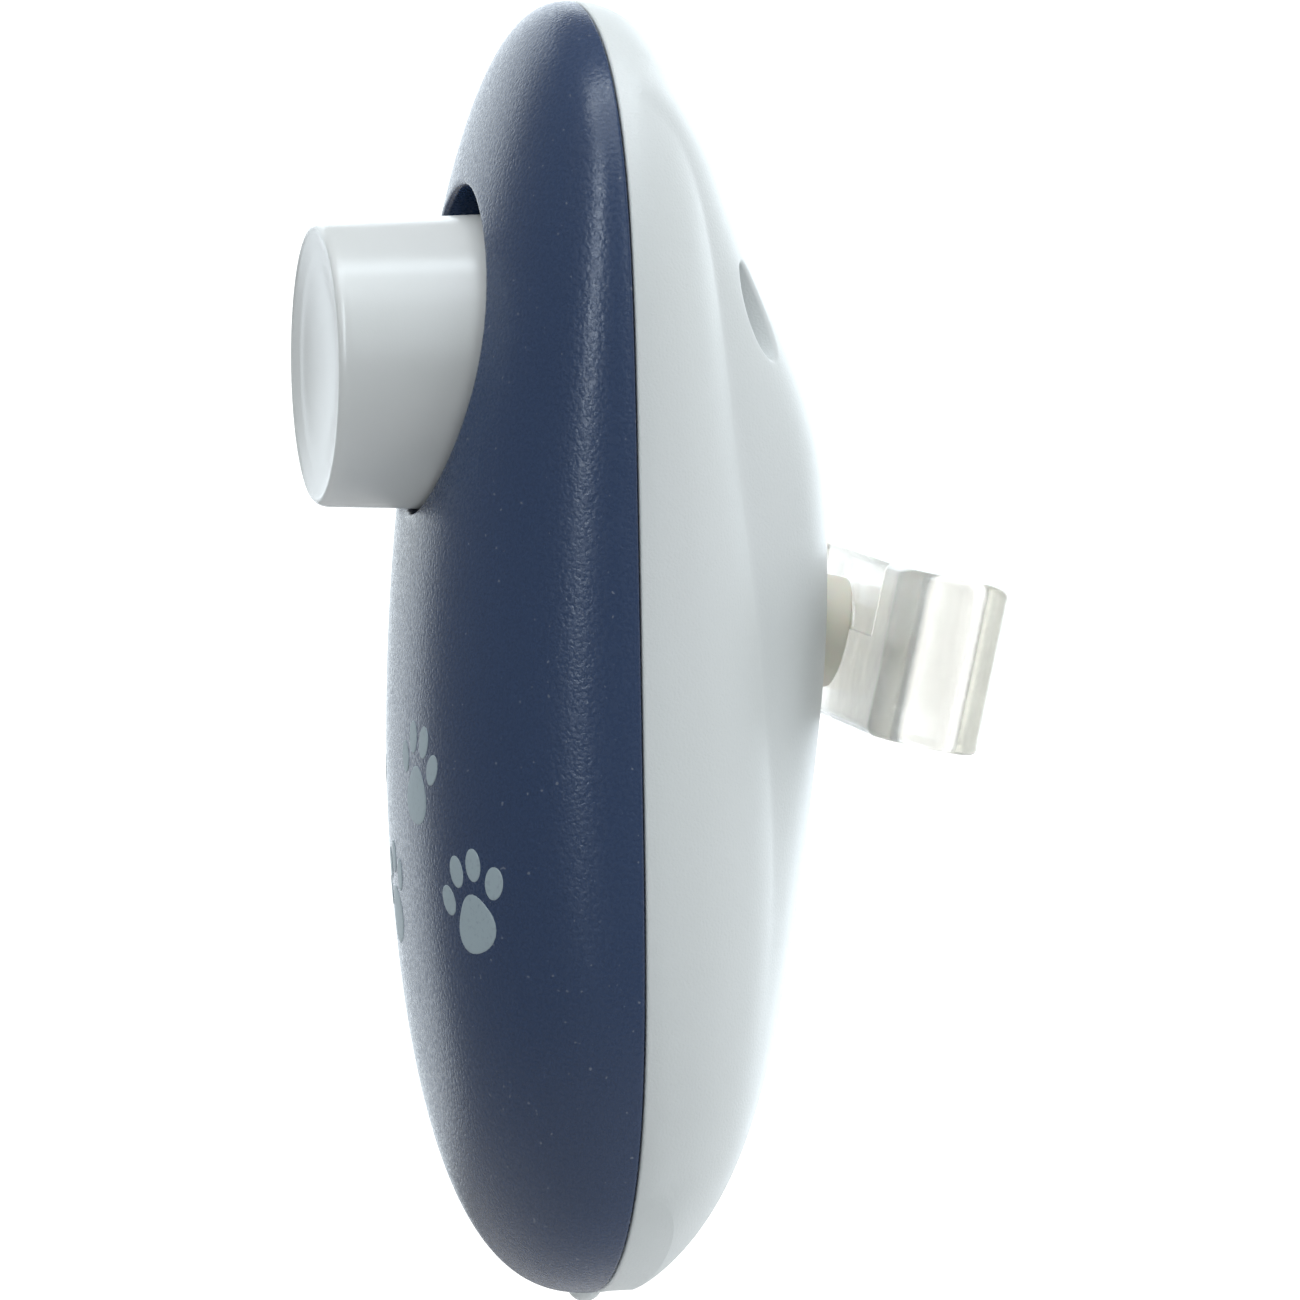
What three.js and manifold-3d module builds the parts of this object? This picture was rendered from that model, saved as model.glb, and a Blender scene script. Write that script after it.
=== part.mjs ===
// Finger clicker for dog training: an egg-shaped case of two plastic shells, a thumb
// button on a lever, a snapping spring-steel strip that makes the click, and a soft
// clear loop on a swivelling stud that holds the clicker on a finger.
//
// Units are millimetres. The case is modelled in its own coordinates: X across it,
// -Y out of the thumb button, +Y out of the back, z = 0 at its lower tip, and y = 0 on
// the parting plane of the shells. The last lines move it all so that the origin is
// the middle of the finger loop.
import * as THREE from "three";
import { mergeVertices } from "three/addons/utils/BufferGeometryUtils.js";
import Module from "manifold-3d";

const wasm = await Module();
wasm.setup();

// ---- driving dimensions ----
const GAP = 0.3; // clearance kept between pieces that touch or nest

// case
const CASE_TOP_Z = 65;
const CASE_LOW_Z = 0.45; // the tab of the rear shell hangs below this, to z = 0
const HALF_LENGTH = (CASE_TOP_Z - CASE_LOW_Z) / 2;
const MIDDLE_Z = (CASE_TOP_Z + CASE_LOW_Z) / 2;
const BODY_HALF_WIDTH = 15;
const SECTION_POWER = 2.2; // the cross-sections are superellipses, a little squarer than ellipses
const WALL = 1.8;
const SEAM_HALF = GAP / 2; // each shell stops this far from the parting plane

// raised spine on the back
const SPINE_HALF_WIDTH = 11.3;
const SPINE_POWER = 2.6;
const SPINE_DEPTH = 12.18;
const SPINE_PEAK_Z = 37.1;
const SPINE_CROWN = 0.008; // how fast the flat of the back falls away from its peak
const SHOULDER_Z = 55; // the sloping shoulder passes SHOULDER_DEPTH here
const SHOULDER_DEPTH = 6.74;
const SHOULDER_SLOPE = 0.482;
const SHOULDER_BLEND = 1.5; // rounding where the back turns into the shoulder
const SPINE_END_Z = 56;
const SPINE_FADE = 0.12; // how fast the spine sinks into the egg above SPINE_END_Z
const SPINE_BLEND = 2.2; // fillet size along the spine's foot
const SPINE_CAVITY_DROP = 9; // the hollow's own shoulder is this much lower

// locating lip between the shells
const LIP_OUTER_INSET = 1.25;
const LIP_DEPTH = 1.1;
const LIP_RECESS_INSET = LIP_OUTER_INSET - GAP;
const LIP_STOP_X = 4; // the lip leaves room for the upper screw's boss
const LIP_STOP_Z = 55;
const LIP_TAB_STOP_X = 2; // and for the tab
const LIP_TAB_STOP_Z = 5;

// lanyard eye in the shoulder: two narrow holes joined by a channel behind a bar
const EYE_X = 8.5;
const EYE_Z = 49.1;
const EYE_HALF_WIDTH = 0.85;
const EYE_HALF_HEIGHT = 2.4;
const EYE_FLOOR_Y = 5.2;
const EYE_CHANNEL_Z = 48.5;
const EYE_CHANNEL_FRONT_Y = 5.8;
const EYE_CHANNEL_BACK_Y = 6.7;
const EYE_CHANNEL_HALF_HEIGHT = 1.2;

// tab at the lower tip
const TAB_RADIUS = 0.9;
const TAB_Y = -0.3;
const TAB_Z = TAB_RADIUS;

// thumb button and its lever
const BUTTON_Z = 47;
const BUTTON_CREST_Y = -13.2;
const BUTTON_RIM_FALL = 0.25; // the face's flat rim slopes inward by this much
const BUTTON_DISH_RADIUS = 5.6;
const BUTTON_DISH = 0.65; // and the dish drops this much further
const BUTTON_ROUNDING = 0.8;
const BUTTON_CREST_RADIUS = 6.8;
const BUTTON_RIM_RADIUS = 7.12;
const BUTTON_BASE_RADIUS = 7.42;
const BUTTON_BASE_Y = -3.45;
const BUTTON_WALL = 1.4;
const BUTTON_POST_RADIUS = 2.2;
const HOLE_Z = 47.65;
const HOLE_RADIUS = 8.15;
const FLANGE_RADIUS = 8.9;
const FLANGE_FRONT_Y = BUTTON_BASE_Y + GAP;
const FLANGE_THICK = 1.2;
const ARM_HALF_WIDTH = 4.6;
const ARM_THICK = 2.2;
const ARM_TOP_Z = 42;
const NOSE_Z = 45;
const NOSE_RADIUS = 1.6;

// hinge of the lever
const PIVOT_Y = -1.2;
const PIVOT_Z = 27.5;
const PIN_RADIUS = 1;
const PIN_HALF_LENGTH = 9.2;
const BARREL_RADIUS = 2.5;
const BARREL_HALF_LENGTH = 6.3;
const EAR_INNER_X = BARREL_HALF_LENGTH + GAP;
const EAR_OUTER_X = 8.9;
const EAR_HALF_HEIGHT = 2.6;

// snapping strip and its clamp
const STRIP_FRONT_Y = 1.6;
const STRIP_THICK = 0.35;
const STRIP_HALF_WIDTH = 5.5;
const STRIP_BOTTOM_Z = 11.4;
const STRIP_TOP_Z = 49.5;
const DIMPLE_Z = 30;
const DIMPLE_HALF_LENGTH = 4.5;
const DIMPLE_HEIGHT = 0.7;
const CLAMP_Z = 15.5;
const CLAMP_HALF_HEIGHT = 3.5;
const CLAMP_THICK = 1;
const STRIP_SCREW_X = 3;
const STRIP_SCREW_RADIUS = 0.9;
const STRIP_SCREW_LENGTH = 4.6;
const STRIP_SCREW_HEAD_RADIUS = 1.7;
const STRIP_SCREW_HEAD_HEIGHT = 1.1;

// screws on the centre line that hold the shells together: [name, z, y under the head, length]
const CASE_SCREWS = [
  ["case_screw_upper", 60, 2.4, 5.2],
  ["case_screw_lower", 7.5, 2.6, 6.4],
];
const CASE_SCREW_RADIUS = 1.1;
const CASE_SCREW_HEAD_RADIUS = 2;
const CASE_SCREW_HEAD_HEIGHT = 1.5;
const CASE_BOSS_RADIUS = 2.7;

// finger loop: a flat oval band on a stud whose axis points down a little at the back
const LOOP_PITCH = THREE.MathUtils.degToRad(12);
const LOOP_TURN = THREE.MathUtils.degToRad(5); // how far it sits turned on its stud
const LOOP_FACE_Y = 13.25; // where the stud's axis meets the band's near face
const LOOP_FACE_Z = 33.2;
const LOOP_LENGTH = 27;
const LOOP_DEPTH = 5.7;
const LOOP_HEIGHT = 8.5;
const LOOP_WALL = 1.6;
const LOOP_EDGE = 0.4; // bevel of the band's four long edges
const STEP_HALF_LENGTH = 7.5; // shallow recess in the upper half of the near wall
const STEP_DEPTH = 0.25;
const STEP_BOTTOM = 0.4;

// stud of the loop; distances run along its axis from the band's near face
const NECK_RADIUS = 2.8;
const SHANK_RADIUS = 1.8;
const SPIGOT_RADIUS = 1.7;
const SPIGOT_LENGTH = 0.8;
const SEAT_AT = -1.6;
const SEAT_RADIUS = NECK_RADIUS + GAP + 0.3;
const INNER_SEAT_AT = -4;
const INNER_BOSS_RADIUS = 4.6;
const SHANK_END_AT = -5;
const WASHER_RADIUS = 4;
const WASHER_THICK = 0.8;
const STUD_SCREW_RADIUS = 0.9;
const STUD_SCREW_TIP_AT = -1.7;
const STUD_SCREW_HEAD_RADIUS = 2.9;
const STUD_SCREW_HEAD_HEIGHT = 1.4;

// mesh fineness
const SKIN_ROWS = 22;
const SKIN_COLUMNS = 16;
const HOLLOW_ROWS = 14;
const HOLLOW_COLUMNS = 10;
const OUTLINE_STEPS = 18;
const BALL_COLUMNS = 16;
const BALL_ROWS = 10;
const EYE_SIDES = 24;
const OVAL_STEPS = 8; // on each quarter of a round end
const DISH_STEPS = 6;
const DIMPLE_STEPS = 6; // on each side of the dimple
const ROUND = 28;
const MEDIUM_ROUND = 20;
const SMALL_ROUND = 12;
const FAR = 40; // cutting tools run this far, past every face of the case

// ---- materials ----
const plastic = (color, roughness) => new THREE.MeshStandardMaterial({ color, roughness, metalness: 0 });
const metal = (color, roughness) => new THREE.MeshStandardMaterial({ color, roughness, metalness: 1 });
const NAVY = plastic(0x2e3d5a, 0.45);
const PALE_GREY = plastic(0xc8d0d4, 0.42);
const DARK_GREY = plastic(0x4a4d52, 0.5);
const NYLON = plastic(0xe8e8dc, 0.5);
const CLEAR_RUBBER = new THREE.MeshStandardMaterial({
  color: 0xf2f3ee,
  roughness: 0.15,
  transparent: true,
  opacity: 0.5,
});
const SPRING_STEEL = metal(0xaeb4ba, 0.25);
const ZINC = metal(0xb8bcc0, 0.35);

// ---- solids ----
function toSolid(geometry) {
  const bare = geometry.clone();
  bare.deleteAttribute("normal");
  bare.deleteAttribute("uv");
  const merged = mergeVertices(bare, 1e-5);
  const vertProperties = new Float32Array(merged.attributes.position.array);
  const triVerts = new Uint32Array(merged.index.array);
  return new wasm.Manifold(new wasm.Mesh({ numProp: 3, vertProperties, triVerts }));
}

function toGeometry(solid) {
  const mesh = solid.getMesh();
  const geometry = new THREE.BufferGeometry();
  geometry.setAttribute("position", new THREE.BufferAttribute(new Float32Array(mesh.vertProperties), 3));
  geometry.setIndex(new THREE.BufferAttribute(new Uint32Array(mesh.triVerts), 1));
  return geometry;
}

function box(x0, x1, y0, y1, z0, z1) {
  const geometry = new THREE.BoxGeometry(x1 - x0, y1 - y0, z1 - z0);
  return toSolid(geometry.translate((x0 + x1) / 2, (y0 + y1) / 2, (z0 + z1) / 2));
}

function cylinderY(x, z, radius, y0, y1, sides = SMALL_ROUND) {
  const geometry = new THREE.CylinderGeometry(radius, radius, y1 - y0, sides);
  return toSolid(geometry.translate(x, (y0 + y1) / 2, z));
}

function cylinderX(x0, x1, y, z, radius, sides = SMALL_ROUND) {
  const geometry = new THREE.CylinderGeometry(radius, radius, x1 - x0, sides);
  return toSolid(geometry.rotateZ(Math.PI / 2).translate((x0 + x1) / 2, y, z));
}

// A round solid about the Y axis through (x, z); profile points are [radius, y].
function turned(x, z, profile, sides) {
  const points = profile.map(([radius, y]) => new THREE.Vector2(radius, y));
  return toSolid(new THREE.LatheGeometry(points, sides).translate(x, 0, z));
}

// ---- case profiles, each a function of height z ----
// The numbers in them are the coefficients of the profile curves.
const alongBody = (z, inset) => (z - MIDDLE_Z) / (HALF_LENGTH - inset);
const rimInset = (t, inset) => inset * endCap(t, 12, 2);
const endCap = (t, power, root) => Math.pow(Math.max(1 - Math.pow(Math.abs(t), power), 0), 1 / root);
const smoothMax = (a, b, k) => {
  const h = Math.max(k - Math.abs(a - b), 0) / k;
  return Math.max(a, b) + (h * h * k) / 4;
};
const smoothMin = (a, b, k) => -smoothMax(-a, -b, k);

function halfWidth(z, inset = 0) {
  const t = alongBody(z, inset);
  return Math.max(BODY_HALF_WIDTH * endCap(t, 5, 1.9) - rimInset(t, inset), 0);
}

function frontDepth(z, inset = 0) {
  const t = alongBody(z, inset);
  const fullness = 9.22 - 1.75 * t - 1.27 * t ** 2 - 0.17 * t ** 3 + 0.74 * t ** 4;
  return Math.max(fullness * endCap(t, 2, 2.6) - rimInset(t, inset), 0);
}

function backDepth(z, inset = 0) {
  const t = alongBody(z, inset);
  const fullness = 9.24 - 3.2 * t + 0.92 * t ** 2 + 2.71 * t ** 3 + 2.94 * t ** 4;
  return Math.max(fullness * endCap(t, 2, 1.8) - rimInset(t, inset), 0);
}

function spineDepth(z) {
  const back = SPINE_DEPTH - SPINE_CROWN * (z - SPINE_PEAK_Z) ** 2;
  const shoulder = SHOULDER_DEPTH + SHOULDER_SLOPE * (SHOULDER_Z - z);
  return smoothMin(back, shoulder, SHOULDER_BLEND) - SPINE_FADE * Math.max(z - SPINE_END_Z, 0) ** 2;
}

const superellipse = (s, power) => Math.pow(Math.max(1 - Math.pow(Math.abs(s), power), 0), 1 / power);

// Depth of the back at (x, z): the plain egg with the spine raised out of it.
function backSurface(x, z, inset) {
  const width = halfWidth(z, inset);
  const egg = backDepth(z, inset) * superellipse(x / Math.max(width, 1e-6), SECTION_POWER);
  const crest = inset > 0 ? Math.min(spineDepth(z), spineDepth(z + SPINE_CAVITY_DROP)) : spineDepth(z);
  const spine = (crest - inset) * superellipse(x / (SPINE_HALF_WIDTH - inset), SPINE_POWER);
  return spine > egg - SPINE_BLEND && width > SPINE_BLEND ? smoothMax(egg, spine, SPINE_BLEND) : egg;
}

function frontSurface(x, z, inset) {
  const width = halfWidth(z, inset);
  return frontDepth(z, inset) * superellipse(x / Math.max(width, 1e-6), SECTION_POWER);
}

// Half of the case as a closed solid: a domed skin over a flat face at y = 0.
// side is +1 for the back and -1 for the front.
function domedHalf(surface, side, inset) {
  const rows = inset > 0 ? HOLLOW_ROWS : SKIN_ROWS;
  const columns = inset > 0 ? HOLLOW_COLUMNS : SKIN_COLUMNS;
  const reach = HALF_LENGTH - inset;
  const positions = [];
  const triangles = [];
  const tipLow = 0;
  positions.push(0, 0, MIDDLE_Z - reach);
  for (let i = 1; i < rows; i += 1) {
    const z = MIDDLE_Z - reach * Math.cos((Math.PI * i) / rows);
    const width = halfWidth(z, inset);
    for (let j = 0; j <= columns; j += 1) {
      const turn = (Math.PI * j) / columns;
      const x = -width * Math.sign(Math.cos(turn)) * Math.pow(Math.abs(Math.cos(turn)), 2 / SECTION_POWER);
      const onRim = j === 0 || j === columns;
      positions.push(x, onRim ? 0 : side * surface(x, z, inset), z);
    }
  }
  const tipHigh = positions.length / 3;
  positions.push(0, 0, MIDDLE_Z + reach);
  const at = (i, j) => 1 + (i - 1) * (columns + 1) + j;
  const add = (a, b, c) => triangles.push(...(side > 0 ? [a, c, b] : [a, b, c]));
  for (let j = 0; j < columns; j += 1) {
    add(tipLow, at(1, j + 1), at(1, j));
    add(tipHigh, at(rows - 1, j), at(rows - 1, j + 1));
    for (let i = 1; i < rows - 1; i += 1) {
      add(at(i, j), at(i, j + 1), at(i + 1, j + 1));
      add(at(i, j), at(i + 1, j + 1), at(i + 1, j));
    }
  }
  add(tipLow, at(1, 0), at(1, columns));
  add(tipHigh, at(rows - 1, columns), at(rows - 1, 0));
  for (let i = 1; i < rows - 1; i += 1) {
    add(at(i, 0), at(i + 1, 0), at(i + 1, columns));
    add(at(i, 0), at(i + 1, columns), at(i, columns));
  }
  const geometry = new THREE.BufferGeometry();
  geometry.setAttribute("position", new THREE.BufferAttribute(new Float32Array(positions), 3));
  geometry.setIndex(triangles);
  return toSolid(geometry);
}

// A slab of the case's outline, inset from its edge, between two heights of y.
function outlineSlab(inset, y0, y1) {
  const shape = new THREE.Shape();
  const reach = HALF_LENGTH - inset;
  for (let k = 0; k < 2 * OUTLINE_STEPS; k += 1) {
    const z = MIDDLE_Z - reach * Math.cos((Math.PI * k) / OUTLINE_STEPS);
    const x = (k < OUTLINE_STEPS ? 1 : -1) * halfWidth(z, inset);
    if (k === 0) shape.moveTo(x, z);
    else shape.lineTo(x, z);
  }
  const geometry = new THREE.ExtrudeGeometry(shape, { depth: y1 - y0, bevelEnabled: false });
  return toSolid(geometry.rotateX(Math.PI / 2).translate(0, y1, 0));
}

// Half of space, cut off beyond the case.
const behind = (y) => box(-FAR, FAR, y, FAR, -FAR, 2 * FAR);
const ahead = (y) => box(-FAR, FAR, -FAR, y, -FAR, 2 * FAR);

const ball = (radius, y, z) =>
  toSolid(new THREE.SphereGeometry(radius, BALL_COLUMNS, BALL_ROWS).translate(0, y, z));

const union = (solids) => solids.reduce((sum, solid) => sum.add(solid));

// ---- frames along the loop's stud ----
const studFrame = new THREE.Matrix4()
  .makeTranslation(0, LOOP_FACE_Y, LOOP_FACE_Z)
  .multiply(new THREE.Matrix4().makeRotationX(-LOOP_PITCH));

// A round solid about the stud's axis; profile points are [radius, distance along it].
function turnedOnStud(profile, sides) {
  const points = profile.map(([radius, along]) => new THREE.Vector2(radius, along));
  return toSolid(new THREE.LatheGeometry(points, sides).applyMatrix4(studFrame));
}

const rod = (radius, from, to) => [
  [0, from],
  [radius, from],
  [radius, to],
  [0, to],
];
const tube = (inner, outer, from, to) => [
  [inner, from],
  [outer, from],
  [outer, to],
  [inner, to],
  [inner, from],
];

// ---- the shells ----
// The two ears that hold the hinge pin, from inside the front wall to behind the pin.
function makeEars() {
  const [low, high] = [PIVOT_Z - EAR_HALF_HEIGHT, PIVOT_Z + EAR_HALF_HEIGHT];
  const ear = (x0, x1) =>
    box(x0, x1, -FAR, PIVOT_Y, low, high).add(cylinderX(x0, x1, PIVOT_Y, PIVOT_Z, EAR_HALF_HEIGHT));
  return ear(-EAR_OUTER_X, -EAR_INNER_X).add(ear(EAR_INNER_X, EAR_OUTER_X));
}

function makeFrontShell() {
  const outer = domedHalf(frontSurface, -1, 0);
  const hollow = domedHalf(frontSurface, -1, WALL);
  const recess = outlineSlab(LIP_RECESS_INSET, -LIP_DEPTH - GAP, 1);
  const bosses = union(CASE_SCREWS.map(([, z]) => cylinderY(0, z, CASE_BOSS_RADIUS, -FAR, -SEAM_HALF)));
  let shell = outer.subtract(hollow).subtract(recess).add(bosses.intersect(outer));
  shell = shell.subtract(behind(-SEAM_HALF));
  shell = shell.add(makeEars().intersect(outer.add(behind(PIVOT_Y))));
  shell = shell.subtract(cylinderY(0, HOLE_Z, HOLE_RADIUS, -FAR, 0, ROUND));
  shell = shell.subtract(cylinderX(-EAR_OUTER_X - 1, EAR_OUTER_X + 1, PIVOT_Y, PIVOT_Z, PIN_RADIUS + GAP));
  for (const [, z, headY, length] of CASE_SCREWS) {
    shell = shell.subtract(cylinderY(0, z, CASE_SCREW_RADIUS + GAP, headY - length - GAP, 0));
  }
  return shell.subtract(ball(TAB_RADIUS + GAP, TAB_Y, TAB_Z));
}

function makeRearShell() {
  const outer = domedHalf(backSurface, 1, 0);
  const hollow = domedHalf(backSurface, 1, WALL);
  const [clampLow, clampHigh] = [CLAMP_Z - CLAMP_HALF_HEIGHT, CLAMP_Z + CLAMP_HALF_HEIGHT];
  const boardY = STRIP_FRONT_Y + STRIP_THICK + GAP;
  const fittings = union([
    turnedOnStud(rod(INNER_BOSS_RADIUS, INNER_SEAT_AT, 0), ROUND),
    box(-STRIP_HALF_WIDTH, STRIP_HALF_WIDTH, boardY, FAR, clampLow, clampHigh),
    ...CASE_SCREWS.map(([, z]) => cylinderY(0, z, CASE_BOSS_RADIUS, SEAM_HALF, FAR)),
  ]);
  let shell = outer.subtract(hollow).add(fittings.intersect(outer)).subtract(ahead(SEAM_HALF));
  const lip = outlineSlab(LIP_OUTER_INSET, -LIP_DEPTH, WALL).subtract(outlineSlab(WALL, -FAR, FAR));
  const stops = union([
    box(-LIP_STOP_X, LIP_STOP_X, -FAR, SEAM_HALF, LIP_STOP_Z, 2 * FAR),
    box(-LIP_TAB_STOP_X, LIP_TAB_STOP_X, -FAR, SEAM_HALF, -FAR, LIP_TAB_STOP_Z),
  ]);
  shell = shell.add(lip.subtract(stops));
  shell = shell.subtract(turnedOnStud(rod(SEAT_RADIUS, SEAT_AT, FAR), ROUND));
  shell = shell.subtract(turnedOnStud(rod(SHANK_RADIUS + GAP, -FAR, FAR), ROUND));
  shell = shell.subtract(turnedOnStud(rod(INNER_BOSS_RADIUS, -FAR, INNER_SEAT_AT), ROUND));
  for (const side of [-1, 1]) {
    const hole = new THREE.CylinderGeometry(1, 1, FAR, EYE_SIDES).scale(EYE_HALF_WIDTH, 1, EYE_HALF_HEIGHT);
    shell = shell.subtract(toSolid(hole.translate(side * EYE_X, EYE_FLOOR_Y + FAR / 2, EYE_Z)));
    const pilotEnd = STRIP_SCREW_LENGTH + 2 * GAP;
    shell = shell.subtract(cylinderY(side * STRIP_SCREW_X, CLAMP_Z, STRIP_SCREW_RADIUS + GAP, 0, pilotEnd));
  }
  const [low, high] = [EYE_CHANNEL_Z - EYE_CHANNEL_HALF_HEIGHT, EYE_CHANNEL_Z + EYE_CHANNEL_HALF_HEIGHT];
  shell = shell.subtract(box(-EYE_X, EYE_X, EYE_CHANNEL_FRONT_Y, EYE_CHANNEL_BACK_Y, low, high));
  for (const [, z, headY] of CASE_SCREWS) {
    const counterbore = CASE_SCREW_HEAD_RADIUS + GAP;
    shell = shell.subtract(cylinderY(0, z, CASE_SCREW_RADIUS + GAP, 0, FAR));
    shell = shell.subtract(cylinderY(0, z, counterbore, headY - GAP, FAR, MEDIUM_ROUND));
  }
  return shell.add(ball(TAB_RADIUS, TAB_Y, TAB_Z));
}

// ---- button, lever and hinge ----
function makeThumbButton() {
  const dishEdgeY = BUTTON_CREST_Y + BUTTON_RIM_FALL;
  const innerTop = dishEdgeY + BUTTON_DISH + BUTTON_WALL;
  const innerRadius = BUTTON_RIM_RADIUS - BUTTON_WALL;
  const dish = [];
  for (let k = 0; k <= DISH_STEPS; k += 1) {
    const r = (BUTTON_DISH_RADIUS * k) / DISH_STEPS;
    dish.push([r, dishEdgeY + BUTTON_DISH * (1 - (r / BUTTON_DISH_RADIUS) ** 2)]);
  }
  const rim = [
    [BUTTON_CREST_RADIUS, BUTTON_CREST_Y],
    [(BUTTON_CREST_RADIUS + BUTTON_RIM_RADIUS) / 2, BUTTON_CREST_Y + BUTTON_ROUNDING * 0.15],
    [BUTTON_RIM_RADIUS, BUTTON_CREST_Y + BUTTON_ROUNDING],
    [BUTTON_BASE_RADIUS, BUTTON_BASE_Y],
  ];
  const inside = [
    [BUTTON_BASE_RADIUS - BUTTON_WALL, BUTTON_BASE_Y],
    [innerRadius, innerTop],
    [BUTTON_POST_RADIUS, innerTop],
    [BUTTON_POST_RADIUS, BUTTON_BASE_Y],
    [0, BUTTON_BASE_Y],
  ];
  return turned(0, BUTTON_Z, [...dish, ...rim, ...inside], ROUND);
}

function makeLever() {
  const flangeBack = FLANGE_FRONT_Y + FLANGE_THICK;
  const armBack = FLANGE_FRONT_Y + ARM_THICK;
  let lever = cylinderY(0, BUTTON_Z, FLANGE_RADIUS, FLANGE_FRONT_Y, flangeBack, ROUND);
  lever = lever.add(box(-ARM_HALF_WIDTH, ARM_HALF_WIDTH, FLANGE_FRONT_Y, armBack, PIVOT_Z, ARM_TOP_Z));
  lever = lever.add(cylinderX(-BARREL_HALF_LENGTH, BARREL_HALF_LENGTH, PIVOT_Y, PIVOT_Z, BARREL_RADIUS, MEDIUM_ROUND));
  const noseTipY = STRIP_FRONT_Y - GAP;
  const nose = [
    [0, FLANGE_FRONT_Y],
    [NOSE_RADIUS, FLANGE_FRONT_Y],
    [NOSE_RADIUS, noseTipY - NOSE_RADIUS * 0.6],
    [NOSE_RADIUS * 0.6, noseTipY - NOSE_RADIUS * 0.15],
    [0, noseTipY],
  ];
  lever = lever.add(turned(0, NOSE_Z, nose, SMALL_ROUND));
  return lever.subtract(cylinderX(-FAR, FAR, PIVOT_Y, PIVOT_Z, PIN_RADIUS + GAP));
}

const makeHingePin = () => cylinderX(-PIN_HALF_LENGTH, PIN_HALF_LENGTH, PIVOT_Y, PIVOT_Z, PIN_RADIUS);

// ---- strip and clamp ----
function makeClickStrip() {
  const bulge = (z) => {
    const s = (z - DIMPLE_Z) / DIMPLE_HALF_LENGTH;
    return Math.abs(s) < 1 ? DIMPLE_HEIGHT * Math.cos((Math.PI * s) / 2) ** 2 : 0;
  };
  const stations = [STRIP_BOTTOM_Z];
  for (let k = -DIMPLE_STEPS; k <= DIMPLE_STEPS; k += 1) {
    stations.push(DIMPLE_Z + (DIMPLE_HALF_LENGTH * k) / DIMPLE_STEPS);
  }
  stations.push(STRIP_TOP_Z);
  const shape = new THREE.Shape();
  shape.moveTo(STRIP_FRONT_Y + bulge(stations[0]), stations[0]);
  for (const z of stations.slice(1)) shape.lineTo(STRIP_FRONT_Y + bulge(z), z);
  for (const z of stations.reverse()) shape.lineTo(STRIP_FRONT_Y + STRIP_THICK + bulge(z), z);
  const leaf = new THREE.ExtrudeGeometry(shape, { depth: 2 * STRIP_HALF_WIDTH, bevelEnabled: false });
  const axes = new THREE.Matrix4().makeBasis(
    new THREE.Vector3(0, 1, 0),
    new THREE.Vector3(0, 0, 1),
    new THREE.Vector3(1, 0, 0),
  );
  let strip = toSolid(leaf.applyMatrix4(axes).translate(-STRIP_HALF_WIDTH, 0, 0));
  for (const side of [-1, 1]) {
    strip = strip.subtract(cylinderY(side * STRIP_SCREW_X, CLAMP_Z, STRIP_SCREW_RADIUS + GAP, 0, FAR));
  }
  return strip;
}

const clampBackY = STRIP_FRONT_Y - GAP;
const clampFrontY = clampBackY - CLAMP_THICK;

function makeStripClamp() {
  const half = CLAMP_HALF_HEIGHT - GAP;
  const side = STRIP_HALF_WIDTH - GAP;
  let plate = box(-side, side, clampFrontY, clampBackY, CLAMP_Z - half, CLAMP_Z + half);
  for (const x of [-STRIP_SCREW_X, STRIP_SCREW_X]) {
    plate = plate.subtract(cylinderY(x, CLAMP_Z, STRIP_SCREW_RADIUS + GAP, -FAR, FAR));
  }
  return plate;
}

// A pan-head screw whose shank runs from y = headY towards +Y (way = 1) or -Y (way = -1).
function makeScrew(x, z, headY, way, shankRadius, length, headRadius, headHeight) {
  const profile = [
    [0, headY + way * length],
    [shankRadius * 0.35, headY + way * length],
    [shankRadius, headY + way * (length - shankRadius)],
    [shankRadius, headY],
    [headRadius, headY],
    [headRadius, headY - way * headHeight * 0.6],
    [headRadius * 0.7, headY - way * headHeight],
    [0, headY - way * headHeight],
  ];
  if (way > 0) profile.reverse();
  return turned(x, z, profile, SMALL_ROUND);
}

const makeStripScrew = (x) =>
  makeScrew(
    x,
    CLAMP_Z,
    clampFrontY - GAP,
    1,
    STRIP_SCREW_RADIUS,
    STRIP_SCREW_LENGTH,
    STRIP_SCREW_HEAD_RADIUS,
    STRIP_SCREW_HEAD_HEIGHT,
  );

const makeCaseScrew = ([, z, headY, length]) =>
  makeScrew(0, z, headY, -1, CASE_SCREW_RADIUS, length, CASE_SCREW_HEAD_RADIUS, CASE_SCREW_HEAD_HEIGHT);

// ---- finger loop and its stud ----
// An oval of straight sides and round ends, centred on the origin of the shape.
function ovalShape(length, depth) {
  const radius = depth / 2;
  const straight = length / 2 - radius;
  const shape = new THREE.Shape();
  shape.moveTo(-straight, -radius);
  shape.lineTo(straight, -radius);
  shape.absarc(straight, 0, radius, -Math.PI / 2, Math.PI / 2, false);
  shape.lineTo(-straight, radius);
  shape.absarc(-straight, 0, radius, Math.PI / 2, (3 * Math.PI) / 2, false);
  return shape;
}

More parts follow.
